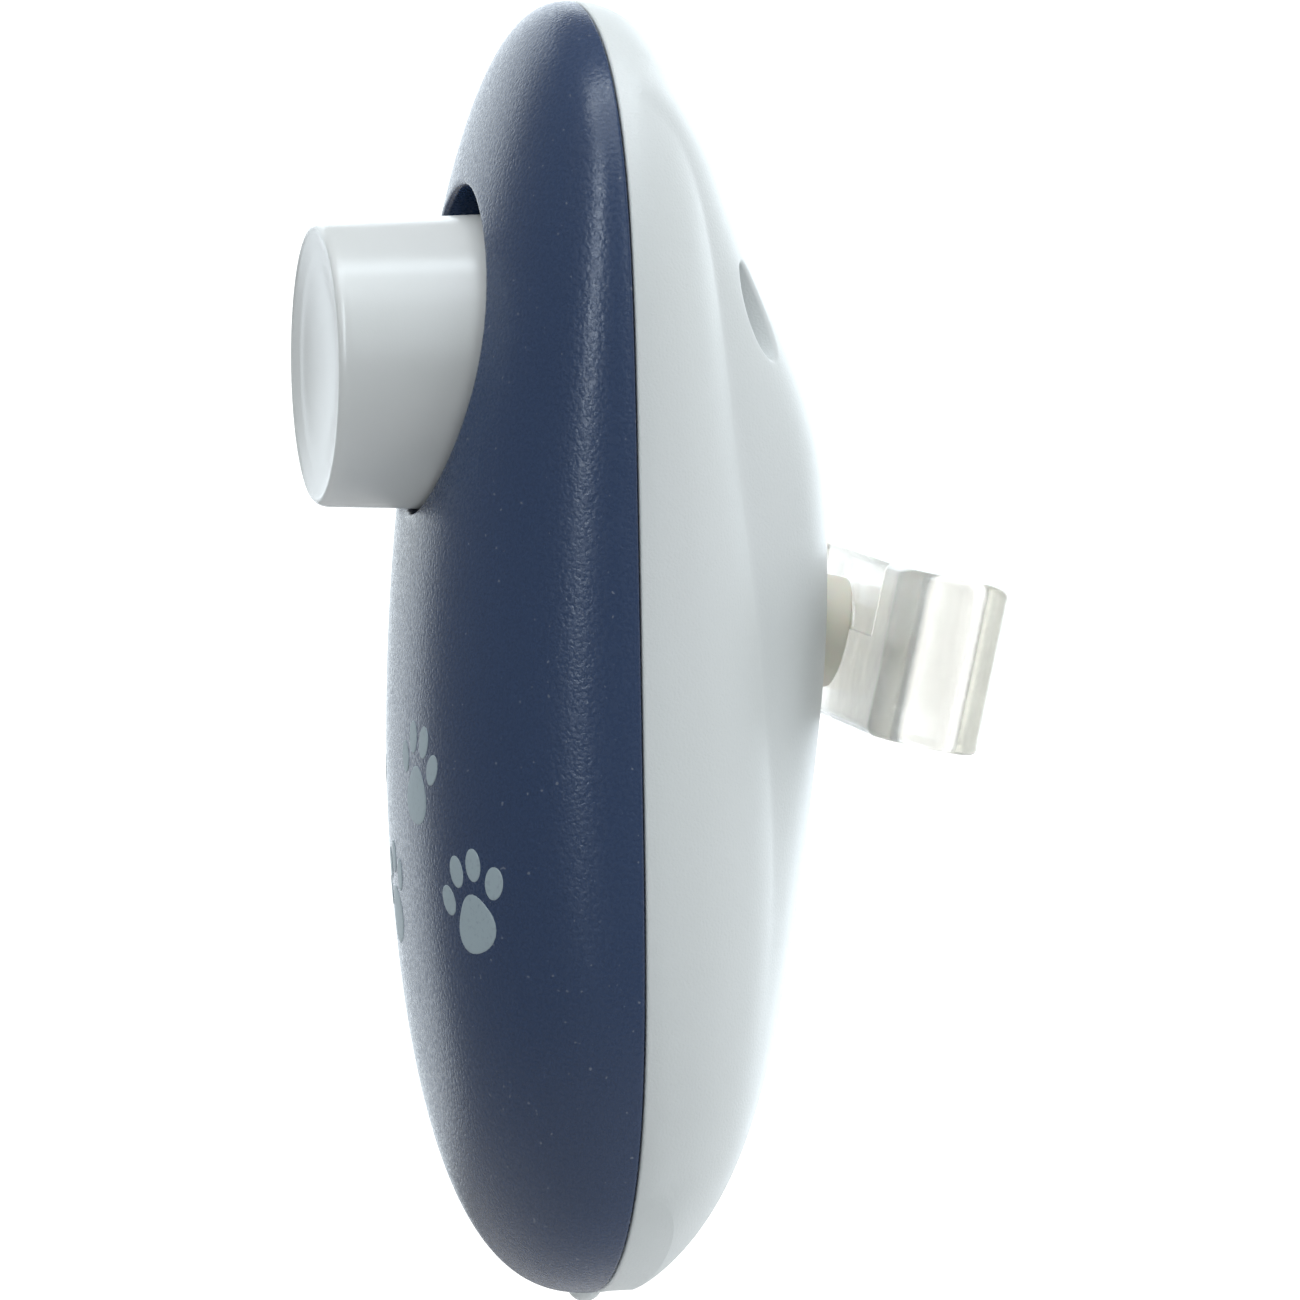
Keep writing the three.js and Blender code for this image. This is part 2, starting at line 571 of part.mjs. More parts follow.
function makeFingerLoop() {
  const bevel = { bevelThickness: LOOP_EDGE, bevelSize: LOOP_EDGE, bevelOffset: -LOOP_EDGE, bevelSegments: 1 };
  const settings = { depth: LOOP_HEIGHT - 2 * LOOP_EDGE, curveSegments: OVAL_STEPS, ...bevel };
  const centred = (geometry, lift) => geometry.translate(0, LOOP_DEPTH / 2, lift);
  const outside = new THREE.ExtrudeGeometry(ovalShape(LOOP_LENGTH, LOOP_DEPTH), settings);
  const hollowShape = ovalShape(LOOP_LENGTH - 2 * LOOP_WALL, LOOP_DEPTH - 2 * LOOP_WALL);
  const through = { depth: 2 * FAR, curveSegments: OVAL_STEPS, bevelEnabled: false };
  const hollow = new THREE.ExtrudeGeometry(hollowShape, through);
  const placed = new THREE.Matrix4().multiplyMatrices(studFrame, new THREE.Matrix4().makeRotationY(LOOP_TURN));
  let loop = toSolid(centred(outside, LOOP_EDGE - LOOP_HEIGHT / 2).applyMatrix4(placed));
  loop = loop.subtract(toSolid(centred(hollow, -FAR).applyMatrix4(placed)));
  const step = new THREE.BoxGeometry(2 * STEP_HALF_LENGTH, 2 * STEP_DEPTH, LOOP_HEIGHT);
  step.translate(0, 0, STEP_BOTTOM + LOOP_HEIGHT / 2);
  loop = loop.subtract(toSolid(step.applyMatrix4(placed)));
  return loop.subtract(turnedOnStud(rod(SPIGOT_RADIUS + GAP, -FAR, SPIGOT_LENGTH + GAP), ROUND));
}

function makeLoopStud() {
  const neckEnd = -GAP;
  const profile = [
    [0, SHANK_END_AT],
    [SHANK_RADIUS, SHANK_END_AT],
    [SHANK_RADIUS, SEAT_AT + GAP],
    [NECK_RADIUS, SEAT_AT + GAP],
    [NECK_RADIUS, neckEnd],
    [SPIGOT_RADIUS, neckEnd],
    [SPIGOT_RADIUS, SPIGOT_LENGTH],
    [0, SPIGOT_LENGTH],
  ];
  const pilot = turnedOnStud(rod(STUD_SCREW_RADIUS + GAP, SHANK_END_AT - 1, STUD_SCREW_TIP_AT + GAP), SMALL_ROUND);
  return turnedOnStud(profile, ROUND).subtract(pilot);
}

const washerTopAt = INNER_SEAT_AT - GAP;
const washerBottomAt = washerTopAt - WASHER_THICK;

const makeStudWasher = () =>
  turnedOnStud(tube(SHANK_RADIUS + GAP, WASHER_RADIUS, washerBottomAt, washerTopAt), ROUND);

function makeStudScrew() {
  const headAt = washerBottomAt - GAP;
  const profile = [
    [0, headAt - STUD_SCREW_HEAD_HEIGHT],
    [STUD_SCREW_HEAD_RADIUS * 0.7, headAt - STUD_SCREW_HEAD_HEIGHT],
    [STUD_SCREW_HEAD_RADIUS, headAt - STUD_SCREW_HEAD_HEIGHT * 0.4],
    [STUD_SCREW_HEAD_RADIUS, headAt],
    [STUD_SCREW_RADIUS, headAt],
    [STUD_SCREW_RADIUS, STUD_SCREW_TIP_AT - STUD_SCREW_RADIUS],
    [0, STUD_SCREW_TIP_AT],
  ];
  return turnedOnStud(profile, SMALL_ROUND);
}

// ---- assembly ----
const clicker = new THREE.Group();

function addPiece(name, solid, material) {
  const mesh = new THREE.Mesh(toGeometry(solid), material);
  mesh.name = name;
  clicker.add(mesh);
}

addPiece("front_shell", makeFrontShell(), NAVY);
addPiece("rear_shell", makeRearShell(), PALE_GREY);
addPiece("thumb_button", makeThumbButton(), PALE_GREY);
addPiece("button_lever", makeLever(), DARK_GREY);
addPiece("hinge_pin", makeHingePin(), ZINC);
addPiece("click_strip", makeClickStrip(), SPRING_STEEL);
addPiece("strip_clamp", makeStripClamp(), ZINC);
addPiece("strip_screw_left", makeStripScrew(-STRIP_SCREW_X), ZINC);
addPiece("strip_screw_right", makeStripScrew(STRIP_SCREW_X), ZINC);
for (const screw of CASE_SCREWS) addPiece(screw[0], makeCaseScrew(screw), ZINC);
addPiece("finger_loop", makeFingerLoop(), CLEAR_RUBBER);
addPiece("loop_stud", makeLoopStud(), NYLON);
addPiece("stud_washer", makeStudWasher(), ZINC);
addPiece("stud_screw", makeStudScrew(), ZINC);

const loopMiddle = new THREE.Vector3(0, LOOP_DEPTH / 2, 0).applyMatrix4(studFrame);
clicker.position.copy(loopMiddle).negate();

export default clicker;
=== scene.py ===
import math

import bmesh
import bpy
from mathutils import Matrix, Vector


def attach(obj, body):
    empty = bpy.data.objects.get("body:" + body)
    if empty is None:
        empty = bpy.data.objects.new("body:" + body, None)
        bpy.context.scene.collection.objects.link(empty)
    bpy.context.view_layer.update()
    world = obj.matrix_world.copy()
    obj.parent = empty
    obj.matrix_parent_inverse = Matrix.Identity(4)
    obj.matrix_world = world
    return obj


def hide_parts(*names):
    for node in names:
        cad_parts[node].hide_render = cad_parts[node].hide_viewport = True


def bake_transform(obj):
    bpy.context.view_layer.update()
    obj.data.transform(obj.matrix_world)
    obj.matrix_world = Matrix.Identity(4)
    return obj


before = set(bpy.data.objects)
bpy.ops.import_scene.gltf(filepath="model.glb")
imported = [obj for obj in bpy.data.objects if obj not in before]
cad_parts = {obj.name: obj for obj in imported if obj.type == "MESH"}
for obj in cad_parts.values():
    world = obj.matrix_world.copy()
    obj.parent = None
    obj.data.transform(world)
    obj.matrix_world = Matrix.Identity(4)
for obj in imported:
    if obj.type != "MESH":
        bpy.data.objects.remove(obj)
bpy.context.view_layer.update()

# A finger clicker. Lengths below are millimetres in the case's own coordinates: X across
# the case, -Y out of the thumb button, +Y out of the back, z = 0 at the lower tip and
# y = 0 on the parting plane. CASE turns them into the frame's metres.

# ---- driving dimensions ----
GAP = 0.3  # between pieces that nest
HAIR = 0.06  # round a pin, a screw or a ball in its hole
BEARING = 0.02  # under a piece that rests on another
NIP = 0.03  # between two pieces that press on each other
PRESS = 0.05  # round a piece pushed into another
SLIP = 0.1  # round a screw or shank in a plate
FINE_EDGE = 0.15  # rounding of edges
EDGE = 0.2
WIDE_EDGE = 0.3

# the case: its outline, section and parting line
CASE_TOP_Z = 65
CASE_LOW_Z = 0.45
HALF_LENGTH = (CASE_TOP_Z - CASE_LOW_Z) / 2
MIDDLE_Z = (CASE_TOP_Z + CASE_LOW_Z) / 2
BODY_HALF_WIDTH = 15
SECTION_POWER = 2.2
OUTLINE_POWER = 5
OUTLINE_ROOT = 1.9
FRONT_ROOT = 2.6
BACK_ROOT = 1.8
INSET_POWER = 12
WALL = 1.8
SEAM_HALF = 0.035
SEAM_ROUND = 0.16

# the spine raised out of the back
SPINE_HALF_WIDTH = 11.3
SPINE_POWER = 2.6
SPINE_DEPTH = 12.18
SPINE_PEAK_Z = 37.1
SPINE_CROWN = 0.008
SHOULDER_Z = 55
SHOULDER_DEPTH = 6.74
SHOULDER_SLOPE = 0.482
SHOULDER_BLEND = 1.5
SPINE_END_Z = 56
SPINE_FADE = 0.12
SPINE_BLEND = 2.2
SPINE_CAVITY_DROP = 9

# the lip that locates one shell in the other
LIP_OUTER_INSET = 1.25
LIP_DEPTH = 1.1
LIP_RECESS_INSET = LIP_OUTER_INSET - GAP
LIP_STOP_X = 4
LIP_STOP_Z = 55
LIP_TAB_STOP_X = 2
LIP_TAB_STOP_Z = 5
LIP_CUT_Y = 5

# the eye in each shoulder and the channel between them
EYE_X = 8.5
EYE_Z = 49.1
EYE_HALF_WIDTH = 0.85
EYE_HALF_HEIGHT = 2.4
EYE_FLOOR_Y = 5.2
EYE_MOUTH = 0.22
EYE_CHANNEL_Z = 48.5
EYE_CHANNEL_FRONT_Y = 5.8
EYE_CHANNEL_BACK_Y = 6.7
EYE_CHANNEL_HALF_HEIGHT = 1.2

# the tab at the lower tip
TAB_RADIUS = 0.9
TAB_Y = -0.3
TAB_Z = TAB_RADIUS

# the thumb button, its hole and its lever
BUTTON_Z = 47
BUTTON_CREST_Y = -13.2
BUTTON_RIM_FALL = 0.25
BUTTON_DISH_RADIUS = 5.6
BUTTON_DISH = 0.65
BUTTON_CREST_RADIUS = 6.75
BUTTON_CREST_BLEND = 0.16
BUTTON_SHOULDER = 0.75
BUTTON_RIM_RADIUS = 7.12
BUTTON_BASE_RADIUS = 7.42
BUTTON_BASE_Y = -3.45
BUTTON_WALL = 1.4
BUTTON_POST_RADIUS = 2.2
HOLE_Z = 47.65
HOLE_RADIUS = 8.15
HOLE_MOUTH = 0.4
FLANGE_RADIUS = 8.9
FLANGE_FRONT_Y = BUTTON_BASE_Y + GAP
FLANGE_THICK = 1.2
ARM_HALF_WIDTH = 4.6
ARM_THICK = 2.2
ARM_TOP_Z = 42
NOSE_Z = 45
NOSE_RADIUS = 1.6
NOSE_CROWN = 0.8
POCKET_INNER_X = 0.5
POCKET_OUTER_X = 3.5
POCKET_LOW_Z = 31.5
POCKET_HIGH_Z = 40
POCKET_DEPTH = 1.2

# the lever's hinge
PIVOT_Y = -1.2
PIVOT_Z = 27.5
PIN_RADIUS = 1
PIN_HALF_LENGTH = 9.2
BARREL_RADIUS = 2.5
BARREL_HALF_LENGTH = 6.3
EAR_INNER_X = BARREL_HALF_LENGTH + GAP
EAR_OUTER_X = 8.9
EAR_RADIUS = 2.6
EAR_ROOM = 5

# the snapping strip and its clamp
STRIP_FRONT_Y = 1.6
STRIP_THICK = 0.35
STRIP_HALF_WIDTH = 5.5
STRIP_BOTTOM_Z = 11.4
STRIP_TOP_Z = 49.5
STRIP_CORNER = 1.2
DIMPLE_Z = 30
DIMPLE_HALF_LENGTH = 4.5
DIMPLE_HALF_WIDTH = STRIP_HALF_WIDTH - 0.6
DIMPLE_HEIGHT = 0.7
CLAMP_Z = 15.5
CLAMP_HALF_HEIGHT = 3.5
CLAMP_THICK = 1
STRIP_SCREW_X = 3
STRIP_SCREW_RADIUS = 0.9
STRIP_SCREW_LENGTH = 4.6
STRIP_SCREW_HEAD_RADIUS = 1.7
STRIP_SCREW_HEAD_HEIGHT = 1.1
CLAMP_BACK_Y = STRIP_FRONT_Y - GAP
CLAMP_FRONT_Y = CLAMP_BACK_Y - CLAMP_THICK

# screws on the centre line that hold the shells together:
# (node, z, y under the head, length)
CASE_SCREWS = (
    ("case_screw_upper", 60, 2.4, 5.2),
    ("case_screw_lower", 7.5, 2.6, 6.4),
)
CASE_SCREW_RADIUS = 1.1
CASE_SCREW_HEAD_RADIUS = 2
CASE_SCREW_HEAD_HEIGHT = 1.5
CASE_BOSS_RADIUS = 2.7
SINK_MOUTH = 0.25

# the finger loop
LOOP_PITCH = math.radians(12)
LOOP_TURN = math.radians(5)
LOOP_FACE_Y = 13.25
LOOP_FACE_Z = 33.2
LOOP_LENGTH = 27
LOOP_DEPTH = 5.7
LOOP_HEIGHT = 8.5
LOOP_WALL = 1.6
LOOP_EDGE = 0.55
STEP_HALF_LENGTH = 7.5
STEP_DEPTH = 0.25
STEP_BOTTOM = 0.4
STEP_EDGE = 0.1

# the stud; lengths called AT run along it, out of the case, from the loop's face
NECK_RADIUS = 2.8
SHANK_RADIUS = 1.8
SPIGOT_RADIUS = 1.7
SPIGOT_LENGTH = 0.8
SEAT_AT = -1.6
SEAT_RADIUS = NECK_RADIUS + 0.35
SEAT_MOUTH = 0.2
SEAT_MOUTH_DEPTH = 0.35
INNER_SEAT_AT = -4
INNER_BOSS_RADIUS = 4.6
SHANK_END_AT = -5
WASHER_RADIUS = 4
WASHER_THICK = 0.8
WASHER_EDGE = 0.12
WASHER_TOP_AT = INNER_SEAT_AT - GAP
WASHER_BOTTOM_AT = WASHER_TOP_AT - WASHER_THICK
STUD_SCREW_RADIUS = 0.9
STUD_SCREW_TIP_AT = -1.7
STUD_SCREW_HEAD_RADIUS = 2.9
STUD_SCREW_HEAD_HEIGHT = 1.4

# paw prints walking across the lower front: (x, z, lean in degrees)
PAW_PRINTS = ((9.2, 20.3, 12), (4.0, 26.6, -10), (-2.4, 20.6, 12), (-7.8, 26.6, -10))
PAW_SIZE = 2.35
# the pads of a print, in shares of PAW_SIZE: (kind, across, up, size, tilt in degrees)
PAW_PADS = (
    ("main", 0, -0.42, 0.62, 0),
    ("toe", -0.86, 0.22, 0.35, 24),
    ("toe", -0.33, 0.72, 0.35, 8),
    ("toe", 0.33, 0.72, 0.35, -8),
    ("toe", 0.86, 0.22, 0.35, -24),
)
PRINT_PROUD = 0.03
PRINT_SUNK = 0.06
# a pad's rings, from inside the shell to its top: (share of the outline, height)
PRINT_RINGS = (
    (1.0, -PRINT_SUNK),
    (1.0, PRINT_PROUD * 0.3),
    (0.965, PRINT_PROUD * 0.85),
    (0.9, PRINT_PROUD),
    (0.5, PRINT_PROUD),
)

# rows and columns of the domed surfaces
FRONT_MESH = (150, 130)
REAR_MESH = (190, 190)
HOLLOW_MESH = (60, 50)

# ---- the frame ----
MM = 0.001
FAR = 40  # reach of a cutter that goes right through
LOOP_FACE = Matrix.Translation((0, LOOP_FACE_Y, LOOP_FACE_Z))
STUD_FRAME = LOOP_FACE @ Matrix.Rotation(-LOOP_PITCH, 4, "X")
LOOP_FRAME = STUD_FRAME @ Matrix.Rotation(LOOP_TURN, 4, "Y")
LOOP_MIDDLE = STUD_FRAME @ Vector((0, LOOP_DEPTH / 2, 0))
CASE = Matrix.Scale(MM, 4) @ Matrix.Translation(-LOOP_MIDDLE)
STUD = CASE @ STUD_FRAME
LOOP = CASE @ LOOP_FRAME


# ---- mesh helpers ----
def add_object(name, data):
    item = bpy.data.objects.new(name, data)
    bpy.context.collection.objects.link(item)
    return item


def make_solid(name, vertices, faces, place=CASE):
    """A closed mesh object with its faces pointing out."""
    mesh = bpy.data.meshes.new(name)
    mesh.from_pydata([place @ Vector(v) for v in vertices], [], faces)
    work = bmesh.new()
    work.from_mesh(mesh)
    bmesh.ops.recalc_face_normals(work, faces=work.faces)
    work.to_mesh(mesh)
    work.free()
    return add_object(name, mesh)


def combine(base, other, operation):
    """Joins, cuts or intersects base with other, which is used up."""
    boolean = base.modifiers.new("boolean", "BOOLEAN")
    boolean.operation = operation
    boolean.solver = "MANIFOLD"
    boolean.object = other
    evaluated = base.evaluated_get(bpy.context.evaluated_depsgraph_get())
    result = bpy.data.meshes.new_from_object(evaluated)
    base.modifiers.clear()
    base.data = result
    bpy.data.objects.remove(other)
    return base


def join(base, *others):
    for other in others:
        combine(base, other, "UNION")
    return base


def cut(base, *others):
    for other in others:
        combine(base, other, "DIFFERENCE")
    return base


def keep_inside(base, other):
    return combine(base, other, "INTERSECT")


def duplicate(solid):
    return add_object(solid.name + "_copy", solid.data.copy())


def shade(solid, sharp_degrees=32):
    """Smooth shading, kept sharp where the surface turns by more than sharp_degrees."""
    work = bmesh.new()
    work.from_mesh(solid.data)
    for face in work.faces:
        face.smooth = True
    for edge in work.edges:
        edge.smooth = edge.calc_face_angle(0) < math.radians(sharp_degrees)
    work.to_mesh(solid.data)
    work.free()
    return solid


def ring_faces(first, second, count):
    """Quads between two closed rings of vertices that start at those indices."""
    faces = []
    for k in range(count):
        after = (k + 1) % count
        faces.append((first + k, first + after, second + after, second + k))
    return faces


def tube_faces(rings, steps):
    """Faces of a tube of rings between two end points, which come first and last."""
    faces = [(0, 1 + k, 1 + (k + 1) % steps) for k in range(steps)]
    for ring in range(rings - 1):
        faces += ring_faces(1 + ring * steps, 1 + (ring + 1) * steps, steps)
    last = 1 + (rings - 1) * steps
    faces += [(last + steps, last + (k + 1) % steps, last + k) for k in range(steps)]
    return faces


def lathe(name, profile, place=CASE, steps=64):
    """A solid turned about local Y; the profile's (radius, along) points start and end on it."""
    vertices = [(0, profile[0][1], 0)]
    for radius, along in profile[1:-1]:
        for k in range(steps):
            turn = 2 * math.pi * k / steps
            vertices.append((radius * math.cos(turn), along, radius * math.sin(turn)))
    vertices.append((0, profile[-1][1], 0))
    return make_solid(name, vertices, tube_faces(len(profile) - 2, steps), place)


def rod(radius, start, end, edge=0.0):
    """Profile of a plain rod, its ends chamfered by edge."""
    profile = [(0, start), (radius - edge, start)]
    if edge:
        profile += [(radius, start + edge), (radius, end - edge)]
    return profile + [(radius - edge, end), (0, end)]


def bore(solid, radius, start, end, place, steps=64):
    """Drills a round hole along the place's Y."""
    return cut(solid, lathe("bore", rod(radius, start, end), place, steps))


def along_y(x, z):
    return CASE @ Matrix.Translation((x, 0, z))


def along_x(y, z):
    return CASE @ Matrix.Translation((0, y, z)) @ Matrix.Rotation(-math.pi / 2, 4, "Z")


def block(name, low, high, bevel=0.0, segments=3, place=CASE):
    """A box between two corners, its edges rounded by bevel."""
    work = bmesh.new()
    bmesh.ops.create_cube(work, size=1)
    size = Vector(high) - Vector(low)
    middle = (Vector(high) + Vector(low)) / 2
    for vertex in work.verts:
        vertex.co = Vector(a * b for a, b in zip(vertex.co, size)) + middle
    if bevel:
        rounding = dict(offset=bevel, segments=segments, affect="EDGES", profile=0.5)
        bmesh.ops.bevel(work, geom=work.edges, **rounding)
    work.transform(place)
    bmesh.ops.recalc_face_normals(work, faces=work.faces)
    mesh = bpy.data.meshes.new(name)
    work.to_mesh(mesh)
    work.free()
    return add_object(name, mesh)


def centred_block(name, half_width, y, z, bevel=0.0, segments=3, place=CASE):
    """A block centred on x = 0, between two values of y and two of z."""
    low, high = zip((-half_width, half_width), y, z)
    return block(name, low, high, bevel, segments, place)


def ball(name, centre, radius):
    steps = 24
    angles = [math.pi * k / steps for k in range(steps + 1)]
    profile = [(radius * math.sin(a), -radius * math.cos(a)) for a in angles]
    return lathe(name, profile, CASE @ Matrix.Translation(centre), 2 * steps)


def arc(centre, radius, start, end, steps):
    """Points on an arc in a profile, its angles in degrees from the outward direction."""
    points = []
    for k in range(steps + 1):
        angle = math.radians(start + (end - start) * k / steps)
        points.append((centre[0] + radius * math.cos(angle), centre[1] + radius * math.sin(angle)))
    return points


# ---- case profiles, each a function of height z ----
def along_body(z, inset):
    return (z - MIDDLE_Z) / (HALF_LENGTH - inset)


def end_cap(t, power, root):
    return max(1 - abs(t) ** power, 0) ** (1 / root)


def superellipse(s, power):
    return max(1 - abs(s) ** power, 0) ** (1 / power)


def smooth_max(a, b, k):
    h = max(k - abs(a - b), 0) / k
    return max(a, b) + h * h * k / 4


def half_width(z, inset=0):
    t = along_body(z, inset)
    width = BODY_HALF_WIDTH * end_cap(t, OUTLINE_POWER, OUTLINE_ROOT)
    return max(width - inset * end_cap(t, INSET_POWER, 2), 0)


def front_depth(z, inset=0):
    t = along_body(z, inset)
    fullness = 9.22 - 1.75 * t - 1.27 * t**2 - 0.17 * t**3 + 0.74 * t**4
    depth = fullness * end_cap(t, 2, FRONT_ROOT)
    return max(depth - inset * end_cap(t, INSET_POWER, 2), 0)


def back_depth(z, inset=0):
    t = along_body(z, inset)
    fullness = 9.24 - 3.2 * t + 0.92 * t**2 + 2.71 * t**3 + 2.94 * t**4
    depth = fullness * end_cap(t, 2, BACK_ROOT)
    return max(depth - inset * end_cap(t, INSET_POWER, 2), 0)


def spine_depth(z):
    back = SPINE_DEPTH - SPINE_CROWN * (z - SPINE_PEAK_Z) ** 2
    shoulder = SHOULDER_DEPTH + SHOULDER_SLOPE * (SHOULDER_Z - z)
    fade = SPINE_FADE * max(z - SPINE_END_Z, 0) ** 2
    return -smooth_max(-back, -shoulder, SHOULDER_BLEND) - fade


def back_surface(x, z, inset=0):
    """Depth of the back at (x, z): the plain egg with the spine raised out of it."""
    width = half_width(z, inset)
    egg = back_depth(z, inset) * superellipse(x / max(width, 1e-6), SECTION_POWER)
    crest = spine_depth(z)
    if inset:
        crest = min(crest, spine_depth(z + SPINE_CAVITY_DROP))
    spine = (crest - inset) * superellipse(x / (SPINE_HALF_WIDTH - inset), SPINE_POWER)
    if spine > egg - SPINE_BLEND and width > SPINE_BLEND:
        return smooth_max(egg, spine, SPINE_BLEND)
    return egg


def front_surface(x, z, inset=0):
    width = half_width(z, inset)
    return front_depth(z, inset) * superellipse(x / max(width, 1e-6), SECTION_POWER)


# ---- the shells ----
def outline_point(k, rows, inset):
    """Point k of the case's outline, counted up one side and down the other."""
    reach = HALF_LENGTH - inset
    z = MIDDLE_Z - reach * math.cos(math.pi * k / rows)
    return (-1 if k <= rows else 1) * half_width(z, inset), z


def domed_half(name, surface, side, inset, grid, rim):
    """Half of the case as a solid. side is +1 for the back, -1 for the front.

    rim lists (inset, y) for the rings that close the dome towards the parting plane."""
    rows, columns = grid
    first_y = rim[0][1]
    reach = HALF_LENGTH - inset
    vertices = [(0, side * first_y, MIDDLE_Z - reach)]
    for i in range(1, rows):
        z = MIDDLE_Z - reach * math.cos(math.pi * i / rows)
        width = half_width(z, inset)
        for j in range(columns + 1):
            turn = math.cos(math.pi * j / columns)
            x = -width * math.copysign(abs(turn) ** (2 / SECTION_POWER), turn)
            depth = 0 if j in (0, columns) else surface(x, z, inset)
            vertices.append((x, side * math.hypot(depth, first_y), z))
    top = len(vertices)
    vertices.append((0, side * first_y, MIDDLE_Z + reach))

    def at(i, j):
        return 1 + (i - 1) * (columns + 1) + j

    faces = []
    for j in range(columns):
        faces.append((0, at(1, j + 1), at(1, j)))
        faces.append((top, at(rows - 1, j), at(rows - 1, j + 1)))
        for i in range(1, rows - 1):
            faces.append((at(i, j), at(i, j + 1), at(i + 1, j + 1), at(i + 1, j)))
    edge = [0]
    edge += [at(i, 0) for i in range(1, rows)]
    edge.append(top)
    edge += [at(i, columns) for i in range(rows - 1, 0, -1)]
    count = len(edge)
    outline = [(vertices[k][0], vertices[k][2]) for k in edge]
    for ring_inset, ring_y in rim[1:]:
        start = len(vertices)
        for k in range(count):
            before, here, after = outline[k - 1], outline[k], outline[(k + 1) % count]
            along = Vector((after[0] - before[0], after[1] - before[1])).normalized()
            x = here[0] + ring_inset * along.y
            z = here[1] - ring_inset * along.x
            vertices.append((x, side * ring_y, z))
        fresh = list(range(start, start + count))
        for k in range(count):
            after = (k + 1) % count
            faces.append((edge[k], edge[after], fresh[after], fresh[k]))
        edge = fresh
    faces.append((edge[0], edge[1], edge[-1]))
    faces.append((edge[rows], edge[rows - 1], edge[rows + 1]))
    for i in range(1, rows - 1):
        faces.append((edge[i], edge[i + 1], edge[-i - 1], edge[-i]))
    return make_solid(name, vertices, faces)


def seam_ring(degrees):
    """(inset, y) of one ring of the edge that is rounded along the parting line."""
    a = math.radians(degrees)
    return SEAM_ROUND * (1 - math.cos(a)), SEAM_HALF + SEAM_ROUND * (1 - math.sin(a))


SKIN_RIM = [seam_ring(degrees) for degrees in (0, 22.5, 45, 67.5, 90)]
HOLLOW_RIM = [(0, 0.0), (0, -2.0)]


def outline_slab(name, inset, y0, y1):
    """A slab of the case's outline, inset from its edge, between two heights of y."""
    rows = 48
    points = [outline_point(k, rows, inset) for k in range(2 * rows)]
    count = len(points)
    vertices = [(x, y0, z) for x, z in points] + [(x, y1, z) for x, z in points]
    faces = ring_faces(0, count, count) + [tuple(range(count)), tuple(range(count, 2 * count))]
    return make_solid(name, vertices, faces)


def hole_cutter(name, centre, radii, surface, side, inner_y, edge, steps=72):
    """Cuts a hole along Y whose mouth is rounded by edge where it meets the skin."""
    turns, full_turn = 6, 75  # stops short of 90 degrees, then runs straight out
    rings = []
    for k in range(turns + 1):
        angle = math.radians(full_turn * k / turns)
        rings.append((edge * (1 - math.cos(angle)), edge * (1 - math.sin(angle))))
    grow, depth = rings[-1]
    run_out = depth + 0.25
    rings.append((grow + run_out * math.tan(math.radians(full_turn)), depth - run_out))
    stations = [("inner", 0)]
    stations += [("skin", k) for k in range(len(rings))]
    stations.append(("far", len(rings) - 1))
    vertices = []
    for kind, ring in stations:
        grow, depth = rings[ring]
        for k in range(steps):
            turn = 2 * math.pi * k / steps
            x = centre[0] + (radii[0] + grow) * math.cos(turn)
            z = centre[1] + (radii[1] + grow) * math.sin(turn)
            y = {"inner": inner_y, "skin": surface(x, z) - depth, "far": FAR}[kind]
            vertices.append((x, side * y, z))
    faces = [tuple(range(steps)), tuple(range(len(vertices) - steps, len(vertices)))]
    for ring in range(len(stations) - 1):
        faces += ring_faces(ring * steps, (ring + 1) * steps, steps)
    return make_solid(name, vertices, faces)


def make_ear(low_x, high_x):
    """An ear for the hinge pin, from inside the front wall to behind the pin."""
    ear = lathe("ear", rod(EAR_RADIUS, low_x, high_x, FINE_EDGE), along_x(PIVOT_Y, PIVOT_Z))
    low = (low_x, -FAR, PIVOT_Z - EAR_RADIUS)
    return join(ear, block("web", low, (high_x, PIVOT_Y, PIVOT_Z + EAR_RADIUS)))


def make_front_shell():
    outer = domed_half("front_case", front_surface, -1, 0, FRONT_MESH, SKIN_RIM)
    hollow = domed_half("hollow", front_surface, -1, WALL, HOLLOW_MESH, HOLLOW_RIM)
    shell = cut(duplicate(outer), hollow)
    shell.name = "front_case_shell"
    cut(shell, outline_slab("recess", LIP_RECESS_INSET, -LIP_DEPTH - GAP, 1))
    for _, z, _, _ in CASE_SCREWS:
        boss = lathe("boss", rod(CASE_BOSS_RADIUS, -FAR, -SEAM_HALF), along_y(0, z))
        join(shell, keep_inside(boss, duplicate(outer)))
    reach = EAR_OUTER_X + 1
    room_z = (PIVOT_Z - EAR_ROOM, PIVOT_Z + EAR_ROOM)
    join(outer, centred_block("ear_room", reach, (PIVOT_Y, EAR_ROOM), room_z))
    for low_x, high_x in ((-EAR_OUTER_X, -EAR_INNER_X), (EAR_INNER_X, EAR_OUTER_X)):
        join(shell, keep_inside(make_ear(low_x, high_x), duplicate(outer)))
    bpy.data.objects.remove(outer)
    # the button's hole, the pin's hole, the screws' pilot holes and the tab's notch
    radii = (HOLE_RADIUS, HOLE_RADIUS)
    hole = hole_cutter("hole", (0, HOLE_Z), radii, front_surface, -1, -1, HOLE_MOUTH, 128)
    bore(cut(shell, hole), PIN_RADIUS + HAIR, -reach, reach, along_x(PIVOT_Y, PIVOT_Z))
    for _, z, head_y, length in CASE_SCREWS:
        bore(shell, CASE_SCREW_RADIUS + HAIR, head_y - length - GAP, 0, along_y(0, z), 32)
    return cut(shell, ball("notch", (0, TAB_Y, TAB_Z), TAB_RADIUS + HAIR))


